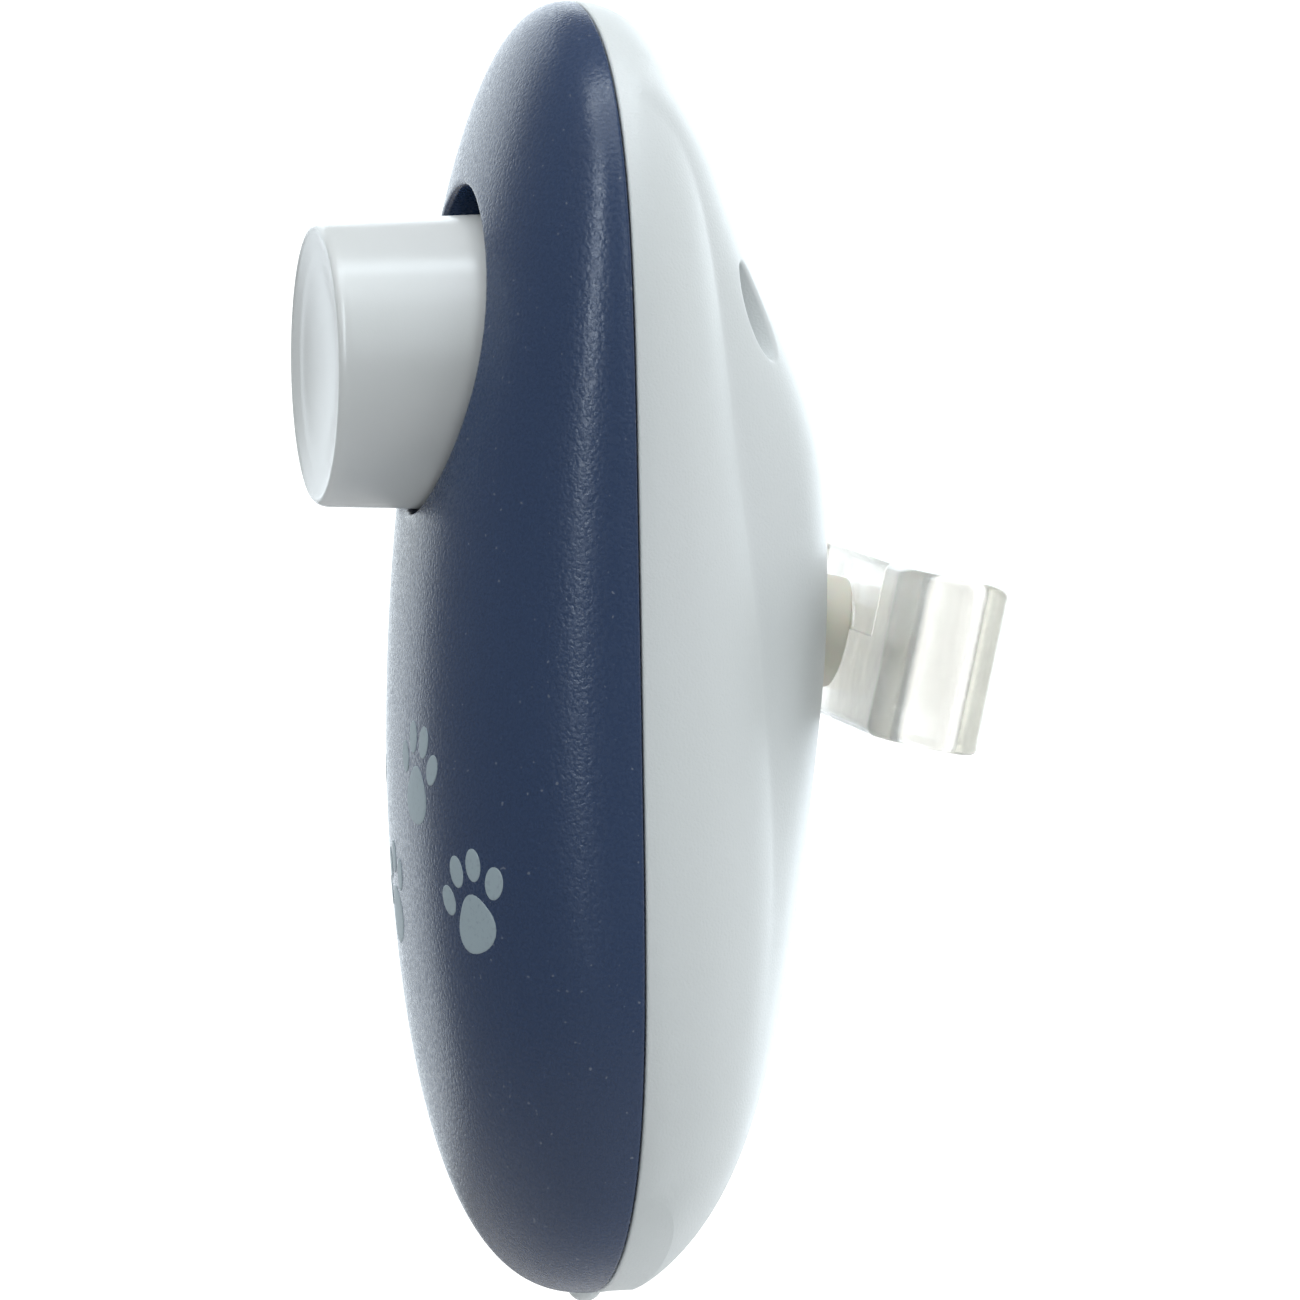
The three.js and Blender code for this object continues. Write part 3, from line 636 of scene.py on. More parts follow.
def add_fittings(shell, outer):
    """The stud's inner boss, the board under the strip and the screw bosses."""
    board_y = STRIP_FRONT_Y + STRIP_THICK + BEARING
    board_z = (CLAMP_Z - CLAMP_HALF_HEIGHT, CLAMP_Z + CLAMP_HALF_HEIGHT)
    fittings = [
        lathe("boss", rod(INNER_BOSS_RADIUS, INNER_SEAT_AT, 0, EDGE), STUD),
        centred_block("board", STRIP_HALF_WIDTH, (board_y, FAR), board_z, EDGE),
    ]
    for _, z, _, _ in CASE_SCREWS:
        fittings.append(lathe("boss", rod(CASE_BOSS_RADIUS, SEAM_HALF, FAR), along_y(0, z)))
    for fitting in fittings:
        join(shell, keep_inside(fitting, duplicate(outer)))


def make_lip():
    """The lip, interrupted at the upper screw's boss and at the tab."""
    lip = outline_slab("lip", LIP_OUTER_INSET, -LIP_DEPTH, WALL)
    cut(lip, outline_slab("inner", WALL, -LIP_CUT_Y, LIP_CUT_Y))
    stop_y = (-LIP_CUT_Y, SEAM_HALF)
    cut(lip, centred_block("boss_stop", LIP_STOP_X, stop_y, (LIP_STOP_Z, CASE_TOP_Z + 5)))
    return cut(lip, centred_block("tab_stop", LIP_TAB_STOP_X, stop_y, (-5, LIP_TAB_STOP_Z)))


def cut_stud_seat(shell):
    """The seat and shaft hole of the stud, with the washer's room behind them."""
    seat_z = LOOP_FACE_Z + (LOOP_FACE_Y - SPINE_DEPTH) * math.tan(LOOP_PITCH)
    bore(shell, SEAT_RADIUS, SEAT_AT, 10, STUD)
    mouth_y = back_surface(0, seat_z) - SEAT_MOUTH_DEPTH
    radii = (SEAT_RADIUS, SEAT_RADIUS)
    cut(shell, hole_cutter("mouth", (0, seat_z), radii, back_surface, 1, mouth_y, SEAT_MOUTH))
    bore(shell, SHANK_RADIUS + HAIR, -8, 5, STUD)
    bore(shell, INNER_BOSS_RADIUS, -14, INNER_SEAT_AT, STUD)


def cut_eye(shell):
    """Two narrow oval holes joined by a channel behind a bar, for a wrist cord."""
    radii = (EYE_HALF_WIDTH, EYE_HALF_HEIGHT)
    for x in (-EYE_X, EYE_X):
        eye = hole_cutter("eye", (x, EYE_Z), radii, back_surface, 1, EYE_FLOOR_Y, EYE_MOUTH)
        cut(shell, eye)
    y = (EYE_CHANNEL_FRONT_Y, EYE_CHANNEL_BACK_Y)
    z = (EYE_CHANNEL_Z - EYE_CHANNEL_HALF_HEIGHT, EYE_CHANNEL_Z + EYE_CHANNEL_HALF_HEIGHT)
    cut(shell, centred_block("channel", EYE_X, y, z, WIDE_EDGE, 5))


def make_rear_shell():
    outer = domed_half("rear_case", back_surface, 1, 0, REAR_MESH, SKIN_RIM)
    hollow = domed_half("hollow", back_surface, 1, WALL, HOLLOW_MESH, HOLLOW_RIM)
    shell = cut(duplicate(outer), hollow)
    shell.name = "rear_case_shell"
    add_fittings(shell, outer)
    bpy.data.objects.remove(outer)
    join(shell, make_lip())
    cut_stud_seat(shell)
    cut_eye(shell)
    reach = STRIP_SCREW_LENGTH + 2 * GAP
    for x in (-STRIP_SCREW_X, STRIP_SCREW_X):
        bore(shell, STRIP_SCREW_RADIUS + HAIR, 0, reach, along_y(x, CLAMP_Z), 32)
    for _, z, head_y, _ in CASE_SCREWS:
        bore(shell, CASE_SCREW_RADIUS + GAP, -1, 20, along_y(0, z), 40)
        radii = (CASE_SCREW_HEAD_RADIUS + GAP,) * 2
        floor_y = head_y - BEARING
        cut(shell, hole_cutter("sink", (0, z), radii, back_surface, 1, floor_y, SINK_MOUTH, 64))
    return join(shell, ball("tab", (0, TAB_Y, TAB_Z), TAB_RADIUS))


# ---- thumb button, lever and hinge ----
def face_depth(radius):
    """How far the button's face lies below its crest: a sloping rim, then a dish."""
    rim_width = BUTTON_CREST_RADIUS - BUTTON_DISH_RADIUS
    slope = BUTTON_RIM_FALL * (BUTTON_CREST_RADIUS - radius) / rim_width
    dish = BUTTON_RIM_FALL + BUTTON_DISH * (1 - (radius / BUTTON_DISH_RADIUS) ** 2)
    return smooth_max(min(slope, BUTTON_RIM_FALL), dish, BUTTON_CREST_BLEND)


def make_thumb_button():
    """A cup with a dished face, a crisp crest and a softly rounded shoulder."""
    face_steps, shoulder_steps = 40, 8
    profile = []
    for k in range(face_steps + 1):
        radius = (BUTTON_CREST_RADIUS - 0.1) * k / face_steps
        profile.append((radius, BUTTON_CREST_Y + face_depth(radius)))
    profile.append((BUTTON_CREST_RADIUS - 0.03, BUTTON_CREST_Y + 0.006))
    shoulder = BUTTON_RIM_RADIUS - BUTTON_CREST_RADIUS
    for k in range(shoulder_steps + 1):
        angle = math.radians(90 * k / shoulder_steps)
        radius = BUTTON_CREST_RADIUS + shoulder * math.sin(angle)
        profile.append((radius, BUTTON_CREST_Y + BUTTON_SHOULDER * (1 - math.cos(angle))))
    inner_y = BUTTON_CREST_Y + BUTTON_RIM_FALL + BUTTON_DISH + BUTTON_WALL
    inner_radius = BUTTON_RIM_RADIUS - BUTTON_WALL
    profile += [
        (BUTTON_BASE_RADIUS, BUTTON_BASE_Y - 0.1),
        (BUTTON_BASE_RADIUS - 0.1, BUTTON_BASE_Y),
        (BUTTON_BASE_RADIUS - BUTTON_WALL, BUTTON_BASE_Y),
        (inner_radius, inner_y + WIDE_EDGE),
        (inner_radius - WIDE_EDGE, inner_y),
        (BUTTON_POST_RADIUS + WIDE_EDGE, inner_y),
        (BUTTON_POST_RADIUS, inner_y + WIDE_EDGE),
        (BUTTON_POST_RADIUS, BUTTON_BASE_Y),
        (0, BUTTON_BASE_Y),
    ]
    return lathe("button_cap", profile, along_y(0, BUTTON_Z), 144)


def make_nose():
    """The round peg on the flange whose domed end presses the strip."""
    start = FLANGE_FRONT_Y + 0.3
    tip = STRIP_FRONT_Y - NIP
    dome = tip - NOSE_CROWN
    steps = 8
    profile = [(0, start), (NOSE_RADIUS, start)]
    for k in range(steps):
        angle = math.radians(90 * k / steps)
        profile.append((NOSE_RADIUS * math.cos(angle), dome + NOSE_CROWN * math.sin(angle)))
    profile.append((0, tip))
    return lathe("nose", profile, along_y(0, NOSE_Z), 32)


def make_lever():
    """A round flange, an arm with two pockets, the hinge barrel and the nose."""
    hinge = along_x(PIVOT_Y, PIVOT_Z)
    arm_back = FLANGE_FRONT_Y + ARM_THICK
    flange = rod(FLANGE_RADIUS, FLANGE_FRONT_Y, FLANGE_FRONT_Y + FLANGE_THICK, FINE_EDGE)
    barrel = rod(BARREL_RADIUS, -BARREL_HALF_LENGTH, BARREL_HALF_LENGTH, EDGE)
    arm_y = (FLANGE_FRONT_Y, arm_back)
    arm = centred_block("arm", ARM_HALF_WIDTH, arm_y, (PIVOT_Z, ARM_TOP_Z), WIDE_EDGE)
    lever = lathe("lever_arm", flange, along_y(0, BUTTON_Z), 96)
    join(lever, arm, lathe("barrel", barrel, hinge, 48), make_nose())
    for side in (-1, 1):
        low_x, high_x = sorted((side * POCKET_INNER_X, side * POCKET_OUTER_X))
        low = (low_x, arm_back - POCKET_DEPTH, POCKET_LOW_Z)
        cut(lever, block("pocket", low, (high_x, arm_back + 1, POCKET_HIGH_Z), WIDE_EDGE))
    return bore(lever, PIN_RADIUS + HAIR, -10, 10, hinge, 40)


def make_hinge_pin():
    pin = rod(PIN_RADIUS, -PIN_HALF_LENGTH, PIN_HALF_LENGTH, EDGE)
    return lathe("pivot_pin", pin, along_x(PIVOT_Y, PIVOT_Z), 40)


# ---- snapping strip and its clamp ----
def strip_half_width(z):
    """Half the strip's width, its corners rounded off."""
    short = STRIP_CORNER - min(z - STRIP_BOTTOM_Z, STRIP_TOP_Z - z, STRIP_CORNER)
    return STRIP_HALF_WIDTH - STRIP_CORNER + math.sqrt(STRIP_CORNER**2 - short**2)


def make_click_strip():
    """A steel leaf with a round dimple pressed into it."""
    rows, columns = 120, 24
    vertices = []
    for thickness in (0, STRIP_THICK):
        for i in range(rows + 1):
            s = 0.5 - 0.5 * math.cos(math.pi * i / rows)
            z = STRIP_BOTTOM_Z + (STRIP_TOP_Z - STRIP_BOTTOM_Z) * s
            for j in range(columns + 1):
                x = strip_half_width(z) * (2 * j / columns - 1)
                across, up = x / DIMPLE_HALF_WIDTH, (z - DIMPLE_Z) / DIMPLE_HALF_LENGTH
                reach = math.hypot(across, up)
                bulge = DIMPLE_HEIGHT * math.cos(math.pi / 2 * min(reach, 1)) ** 2
                vertices.append((x, STRIP_FRONT_Y + thickness + bulge, z))
    layer = (rows + 1) * (columns + 1)

    def at(i, j):
        return i * (columns + 1) + j

    faces = []
    for i in range(rows):
        for j in range(columns):
            quad = (at(i, j), at(i, j + 1), at(i + 1, j + 1), at(i + 1, j))
            faces += [quad, tuple(v + layer for v in reversed(quad))]
        for j in (0, columns):
            faces.append((at(i, j), at(i + 1, j), at(i + 1, j) + layer, at(i, j) + layer))
    for j in range(columns):
        for i in (0, rows):
            faces.append((at(i, j), at(i, j + 1), at(i, j + 1) + layer, at(i, j) + layer))
    return cut_screw_holes(make_solid("snap_strip", vertices, faces), 0, 5)


def cut_screw_holes(plate, start, end):
    """The two holes for the clamp's screws."""
    for x in (-STRIP_SCREW_X, STRIP_SCREW_X):
        bore(plate, STRIP_SCREW_RADIUS + SLIP, start, end, along_y(x, CLAMP_Z), 32)
    return plate


def make_strip_clamp():
    half = CLAMP_HALF_HEIGHT - GAP
    y, z = (CLAMP_FRONT_Y, STRIP_FRONT_Y - NIP), (CLAMP_Z - half, CLAMP_Z + half)
    plate = centred_block("clamp_plate", STRIP_HALF_WIDTH - GAP, y, z, EDGE)
    return cut_screw_holes(plate, -1, 3)


# ---- screws ----
def make_screw(name, place, radius, length, head_radius, head_height):
    """A pan-head self-tapping screw along local +Y, its head under y = 0, with a cross recess."""
    pitch = radius * 0.9
    depth = radius * 0.28
    head_rim, head_flat = 0.35, 0.55  # shares of the head's height and radius
    steps, head_steps, rings_per_turn = 32, 6, 8
    rings = []
    for k in range(head_steps + 1):
        angle = math.radians(90 * k / head_steps)
        along = -head_height * (head_rim + (1 - head_rim) * math.cos(angle))
        rings.append((along, head_radius * (head_flat + (1 - head_flat) * math.sin(angle))))
    rings += [(0.0, head_radius), (0.0, radius)]
    count = int(length / pitch * rings_per_turn)
    rings += [(length * k / count, None) for k in range(1, count)]
    vertices = [(0, -head_height, 0)]
    for along, ring_radius in rings:
        for k in range(steps):
            turn = 2 * math.pi * k / steps
            if ring_radius is None:
                phase = (along / pitch - k / steps) % 1
                taper = min(1, (length - along) / (2 * radius) + 0.25)
                thread = radius * taper - depth * abs(2 * phase - 1)
            else:
                thread = ring_radius
            vertices.append((thread * math.cos(turn), along, thread * math.sin(turn)))
    vertices.append((0, length, 0))
    screw = make_solid(name, vertices, tube_faces(len(rings), steps), place)
    slot = head_radius * 0.14
    reach = head_radius * 0.55
    floor = -head_height * 0.45
    top = -head_height - 1
    bar = block("slot_a", (-reach, top, -slot), (reach, floor, slot), place=place)
    cross = block("slot_b", (-slot, top, -reach), (slot, floor, reach), place=place)
    return cut(screw, bar, cross)


def turned_round(x, y, z):
    """Frame of a screw that runs towards -Y from y, at (x, z)."""
    return CASE @ Matrix.Translation((x, y, z)) @ Matrix.Rotation(math.pi, 4, "X")


# ---- finger loop and its stud ----
def oval_stations(length, depth, arc_steps=40, straight_steps=30):
    """(x, y, normal x, normal y) round an oval of straight sides and round ends."""
    radius = depth / 2
    straight = length / 2 - radius
    stations = []
    for end in (1, -1):
        for k in range(straight_steps):
            x = end * straight * (2 * k / straight_steps - 1)
            stations.append((x, -end * radius, 0, -end))
        for k in range(arc_steps):
            angle = math.pi * k / arc_steps - math.pi / 2
            nx, ny = end * math.cos(angle), end * math.sin(angle)
            stations.append((end * straight + radius * nx, radius * ny, nx, ny))
    return stations


def band_section():
    """(outward, upward) points round the band's cross-section, its corners rounded."""
    across, up = LOOP_WALL / 2 - LOOP_EDGE, LOOP_HEIGHT / 2 - LOOP_EDGE
    steps = 8
    points = []
    for corner, (side, level) in enumerate(((1, -1), (1, 1), (-1, 1), (-1, -1))):
        points += arc((side * across, level * up), LOOP_EDGE, 90 * corner - 90, 90 * corner, 6)
        if corner in (0, 2):
            outward = points[-1][0]
            points += [(outward, level * up * (1 - 2 * k / steps)) for k in range(1, steps)]
    return points


def make_finger_loop():
    """A soft band swept round a flat oval, with a shallow step and the stud's socket."""
    section = band_section()
    stations = oval_stations(LOOP_LENGTH - LOOP_WALL, LOOP_DEPTH - LOOP_WALL)
    vertices = []
    for x, y, nx, ny in stations:
        for outward, upward in section:
            vertices.append((x + outward * nx, LOOP_DEPTH / 2 + y + outward * ny, upward))
    size, count = len(section), len(stations)
    faces = []
    for i in range(count):
        faces += ring_faces(i * size, (i + 1) % count * size, size)
    loop = make_solid("soft_loop", vertices, faces, LOOP)
    step_y, step_z = (-1, STEP_DEPTH), (STEP_BOTTOM, 10)
    cut(loop, centred_block("step", STEP_HALF_LENGTH, step_y, step_z, STEP_EDGE, 2, LOOP))
    return bore(loop, SPIGOT_RADIUS + PRESS, -1, SPIGOT_LENGTH + PRESS, STUD, 48)


def make_loop_stud():
    """A shank in the case, a neck behind it and a spigot in the loop's socket."""
    neck_end = -NIP
    seat = SEAT_AT + PRESS
    profile = [
        (0, SHANK_END_AT),
        (SHANK_RADIUS - EDGE, SHANK_END_AT),
        (SHANK_RADIUS, SHANK_END_AT + EDGE),
        (SHANK_RADIUS, seat),
        (NECK_RADIUS - 0.12, seat),
        (NECK_RADIUS, seat + 0.12),
        (NECK_RADIUS, neck_end - 0.15),
        (NECK_RADIUS - 0.05, neck_end - 0.05),
        (NECK_RADIUS - 0.15, neck_end),
        (SPIGOT_RADIUS, neck_end),
        (SPIGOT_RADIUS, SPIGOT_LENGTH - 0.1),
        (SPIGOT_RADIUS - 0.1, SPIGOT_LENGTH),
        (0, SPIGOT_LENGTH),
    ]
    stud = lathe("swivel_stud", profile, STUD, 72)
    start, end = SHANK_END_AT - 1, STUD_SCREW_TIP_AT + 0.2
    return bore(stud, STUD_SCREW_RADIUS + PRESS, start, end, STUD, 32)


def make_stud_washer():
    disc = rod(WASHER_RADIUS, WASHER_BOTTOM_AT, WASHER_TOP_AT, WASHER_EDGE)
    return bore(lathe("swivel_washer", disc, STUD, 72), SHANK_RADIUS + SLIP, -8, 0, STUD, 48)


# ---- printed paw prints ----
def pad_outline(kind, turn):
    """Radius of a pad at that angle, as a share of its size: a toe or the rounded main pad."""
    if kind == "toe":
        return 1 / math.hypot(math.cos(turn) / 0.72, math.sin(turn))
    return 1 - 0.13 * math.sin(turn) + 0.07 * math.cos(3 * turn + math.pi / 2)


def make_paw_print(name, x, z, lean):
    """One print as five thin pads that follow the front shell."""
    slope = (front_surface(x + 0.1, z) - front_surface(x - 0.1, z)) / 0.2
    shrink = 1 / math.hypot(1, slope)
    turn_by = math.radians(lean)
    steps = 28
    centres = ((0.0, PRINT_PROUD), (0.0, -PRINT_SUNK))
    vertices, faces = [], []
    for kind, across, up, size, tilt in PAW_PADS:
        start = len(vertices)
        for share, lift in PRINT_RINGS + centres:
            for k in range(steps if share else 1):
                turn = 2 * math.pi * k / steps
                radius = share * size * pad_outline(kind, turn)
                u = across + radius * math.cos(turn + math.radians(tilt))
                v = up + radius * math.sin(turn + math.radians(tilt))
                px = x + PAW_SIZE * shrink * (u * math.cos(turn_by) - v * math.sin(turn_by))
                pz = z + PAW_SIZE * (u * math.sin(turn_by) + v * math.cos(turn_by))
                vertices.append((px, -front_surface(px, pz) - lift, pz))
        for ring in range(len(PRINT_RINGS) - 1):
            faces += ring_faces(start + ring * steps, start + (ring + 1) * steps, steps)
        top = start + len(PRINT_RINGS) * steps
        last = top - steps
        faces += [(last + k, last + (k + 1) % steps, top) for k in range(steps)]
        faces += [(start + (k + 1) % steps, start + k, top + 1) for k in range(steps)]
    return make_solid(name, vertices, faces)


# ---- materials ----
class Surface:
    """A node material under construction, with its Principled shader."""

    def __init__(self, name, color, roughness, metallic=0.0):
        self.material = bpy.data.materials.new(name)
        self.material.use_nodes = True
        self.tree = self.material.node_tree
        self.shader = self.tree.nodes["Principled BSDF"]
        self.set("Base Color", (*color, 1))
        self.set("Roughness", roughness)
        self.set("Metallic", metallic)
        self.bump = None

    def set(self, socket, value):
        self.shader.inputs[socket].default_value = value

    def node(self, kind, **inputs):
        """A new node; an underscore in an input's name stands for a space."""
        node = self.tree.nodes.new(kind)
        for key, value in inputs.items():
            node.inputs[key.replace("_", " ")].default_value = value
        return node

    def link(self, output, target):
        self.tree.links.new(output, target)

    def noise(self, size_mm, detail=2.0, stretch=(1, 1, 1)):
        """Noise whose lumps are about size_mm across, in the object's own coordinates."""
        place = self.node("ShaderNodeTexCoord")
        mapping = self.node("ShaderNodeMapping", Scale=stretch)
        noise = self.node("ShaderNodeTexNoise", Scale=1 / (size_mm * MM), Detail=detail)
        self.link(place.outputs["Object"], mapping.inputs["Vector"])
        self.link(mapping.outputs["Vector"], noise.inputs["Vector"])
        return noise.outputs["Fac"]

    def ramp(self, value, low, high, out_low, out_high):
        """Maps low to high onto out_low to out_high, and clamps."""
        limits = dict(From_Min=low, From_Max=high, To_Min=out_low, To_Max=out_high)
        scale = self.node("ShaderNodeMapRange", **limits)
        self.link(value, scale.inputs["Value"])
        return scale.outputs["Result"]

    def tint(self, factor, color):
        """Mixes another colour into the base colour by a factor."""
        mix = self.node("ShaderNodeMix")
        mix.data_type = "RGBA"
        base = self.shader.inputs["Base Color"]
        if base.is_linked:
            self.link(base.links[0].from_socket, mix.inputs["A"])
        else:
            mix.inputs["A"].default_value = base.default_value
        mix.inputs["B"].default_value = (*color, 1)
        self.link(factor, mix.inputs["Factor"])
        self.link(mix.outputs["Result"], base)

    def mottle(self, size_mm, detail, amount, color, low=0.3, high=0.7):
        """Tints patches about size_mm across, by up to amount."""
        self.tint(self.ramp(self.noise(size_mm, detail), low, high, 0, amount), color)

    def vary_roughness(self, value, smoothest, roughest):
        roughness = self.ramp(value, 0.3, 0.7, smoothest, roughest)
        self.link(roughness, self.shader.inputs["Roughness"])

    def relief(self, height, depth_mm):
        """Adds a bump of that depth, on top of any bump so far."""
        bump = self.node("ShaderNodeBump", Distance=depth_mm * MM)
        self.link(height, bump.inputs["Height"])
        if self.bump:
            self.link(self.bump, bump.inputs["Normal"])
        self.bump = bump.outputs["Normal"]
        self.link(self.bump, self.shader.inputs["Normal"])


def shell_navy():
    """Deep blue moulded plastic with a fine spark-eroded texture and a few dust specks."""
    surface = Surface("navy_plastic", (0.02, 0.04, 0.092), 0.28)
    surface.set("Specular IOR Level", 0.36)
    grain = surface.noise(0.2, 1)
    surface.relief(grain, 0.022)
    surface.vary_roughness(grain, 0.22, 0.34)
    surface.mottle(9, 3, 0.5, (0.024, 0.045, 0.098), 0.35, 0.7)
    surface.mottle(0.25, 0, 0.4, (0.25, 0.28, 0.33), 0.82, 0.85)  # the specks
    return surface.material


def shell_grey():
    """Pale cool grey moulded plastic with the same fine texture."""
    surface = Surface("pale_plastic", (0.525, 0.572, 0.583), 0.45)
    grain = surface.noise(0.14, 2)
    surface.relief(grain, 0.02)
    surface.vary_roughness(grain, 0.4, 0.5)
    surface.mottle(12, 2, 0.6, (0.54, 0.583, 0.6))
    return surface.material


def button_grey():
    """Smooth satin grey plastic of the thumb button."""
    surface = Surface("button_plastic", (0.545, 0.585, 0.592), 0.24)
    surface.relief(surface.noise(0.09, 1), 0.003)
    surface.vary_roughness(surface.noise(3, 3), 0.23, 0.26)
    surface.mottle(5, 2, 0.5, (0.575, 0.61, 0.625))
    return surface.material


def lever_dark():
    """Unseen moulded plastic inside the case."""
    surface = Surface("dark_plastic", (0.045, 0.048, 0.054), 0.5)
    surface.relief(surface.noise(0.2, 1.5), 0.012)
    surface.mottle(4, 2, 0.5, (0.06, 0.063, 0.07))
    return surface.material


def clear_loop():
    """Clear soft rubber with a faint cream tint and slightly wavy faces."""
    surface = Surface("clear_rubber", (0.98, 0.98, 0.96), 0.22)
    surface.set("Transmission Weight", 0.96)
    surface.set("IOR", 1.4)
    cream = (0.89, 0.895, 0.843, 1)
    depths = surface.node("ShaderNodeVolumeAbsorption", Color=cream, Density=60)
    output = surface.tree.nodes["Material Output"]
    surface.link(depths.outputs["Volume"], output.inputs["Volume"])
    surface.relief(surface.noise(2.2, 1), 0.02)
    surface.relief(surface.noise(0.25, 1), 0.002)
    surface.mottle(3, 2, 0.6, (0.97, 0.97, 0.95))
    return surface.material


def stud_nylon():
    """Natural nylon, which lets a little light in."""
    surface = Surface("natural_nylon", (0.81, 0.81, 0.71), 0.45)
    surface.set("Subsurface Weight", 0.3)
    surface.set("Subsurface Scale", 0.0006)
    surface.relief(surface.noise(0.3, 2), 0.006)
    surface.mottle(2, 2, 0.5, (0.77, 0.76, 0.65))
    return surface.material


def spring_steel():
    """Rolled steel with fine lengthwise lines."""
    surface = Surface("rolled_steel", (0.6, 0.62, 0.65), 0.25, 1.0)
    lines = surface.noise(0.08, 3, (1, 1, 0.02))
    surface.relief(lines, 0.002)
    surface.vary_roughness(lines, 0.2, 0.36)
    surface.mottle(6, 3, 0.6, (0.5, 0.52, 0.56), 0.4, 0.8)
    return surface.material


def zinc_steel():
    """Zinc plating, slightly mottled."""
    surface = Surface("zinc_plating", (0.58, 0.6, 0.62), 0.35, 1.0)
    grain = surface.noise(0.5, 4)
    surface.relief(grain, 0.003)
    surface.vary_roughness(grain, 0.28, 0.45)
    surface.mottle(1.5, 3, 0.5, (0.62, 0.6, 0.5), 0.4, 0.7)
    return surface.material


def print_ink():
    """Pale blue-grey printing ink, a little worn."""
    surface = Surface("pale_ink", (0.26, 0.335, 0.375), 0.5)
    wear = surface.noise(0.22, 3)
    surface.relief(wear, 0.006)
    surface.tint(surface.ramp(wear, 0.55, 0.75, 0, 0.45), (0.12, 0.16, 0.21))
    return surface.material


def make_materials():
    """The material of each slot of the record, by the slot's name."""
    plastics = (shell_navy, shell_grey, button_grey, lever_dark, clear_loop, stud_nylon)
    metals = (spring_steel, zinc_steel)
    return {maker.__name__: maker() for maker in plastics + metals}


# ---- setting the pieces ----
def dress(piece, node, body, material):
    """Puts a finished piece on its body in place of its CAD node."""
    piece.data.materials.clear()
    piece.data.materials.append(material)
    for polygon in piece.data.polygons:
        polygon.material_index = 0
    if body:
        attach(piece, body)
    if node:
        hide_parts(node)


def make_screws():
    """Every screw as (piece, node, body)."""
    head = (STRIP_SCREW_HEAD_RADIUS, STRIP_SCREW_HEAD_HEIGHT)
    size = (STRIP_SCREW_RADIUS, STRIP_SCREW_LENGTH, *head)
    screws = []
    for x, word in ((-STRIP_SCREW_X, "left"), (STRIP_SCREW_X, "right")):
        place = CASE @ Matrix.Translation((x, CLAMP_FRONT_Y - BEARING, CLAMP_Z))
        screw = make_screw(f"leaf_screw_{word}", place, *size)
        screws.append((screw, f"strip_screw_{word}", "housing"))
    for node, z, head_y, length in CASE_SCREWS:
        size = (CASE_SCREW_RADIUS, length, CASE_SCREW_HEAD_RADIUS, CASE_SCREW_HEAD_HEIGHT)
        screw = make_screw(f"{node}_pan", turned_round(0, head_y, z), *size)
        screws.append((screw, node, "housing"))
    place = STUD @ Matrix.Translation((0, WASHER_BOTTOM_AT - BEARING, 0))
    length = STUD_SCREW_TIP_AT - WASHER_BOTTOM_AT
    size = (STUD_SCREW_RADIUS, length, STUD_SCREW_HEAD_RADIUS, STUD_SCREW_HEAD_HEIGHT)
    screws.append((make_screw("swivel_screw", place, *size), "stud_screw", "loop"))
    return screws


def build_pieces(materials):
    pieces = [
        (make_front_shell(), "front_shell", "housing", "shell_navy"),
        (make_rear_shell(), "rear_shell", "housing", "shell_grey"),
        (make_thumb_button(), "thumb_button", "button", "button_grey"),
        (make_lever(), "button_lever", "button", "lever_dark"),
        (make_hinge_pin(), "hinge_pin", "housing", "zinc_steel"),
        (make_strip_clamp(), "strip_clamp", "housing", "zinc_steel"),
        (make_finger_loop(), "finger_loop", "loop", "clear_loop"),
        (make_loop_stud(), "loop_stud", "loop", "stud_nylon"),
        (make_stud_washer(), "stud_washer", "loop", "zinc_steel"),
    ]
    pieces += [(*screw, "zinc_steel") for screw in make_screws()]
    for piece, node, body, slot in pieces:
        dress(shade(piece), node, body, materials[slot])


def build_strip(materials):
    """The strip, clamped in the housing, its free end under the lever's nose; it goes on no body
    and its place is baked into its mesh.
    """
    strip = shade(make_click_strip())
    dress(strip, "click_strip", None, materials["spring_steel"])
    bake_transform(strip)


def build_prints():
    """The paw prints, which have no CAD node of their own."""
    ink = print_ink()
    for number, (x, z, lean) in enumerate(PAW_PRINTS, 1):
        piece = shade(make_paw_print(f"paw_print_{number}", x, z, lean), 60)
        dress(piece, None, "housing", ink)


# ---- camera, floor and light ----
CAMERA_AZIMUTH = math.radians(78)  # from the button's side
CAMERA_ROLL = math.radians(-1.0)
CAMERA_DISTANCE = 500
CAMERA_SIDEWAYS = 3.525
CAMERA_Z = 32.5
FRAME_WIDTH = 65  # what the picture spans at the case's middle
SENSOR = 36

# metres, and radiance where 1 is white
FLOOR_RADIUS = 2.9
FLOOR_Z = -0.26
FLOOR_GLOW = 0.8
ROOM_LIGHT = 0.33
BACKDROP_LIGHT = 1.35
WHITE = (1, 1, 1)
COOL = (0.85, 0.94, 1)

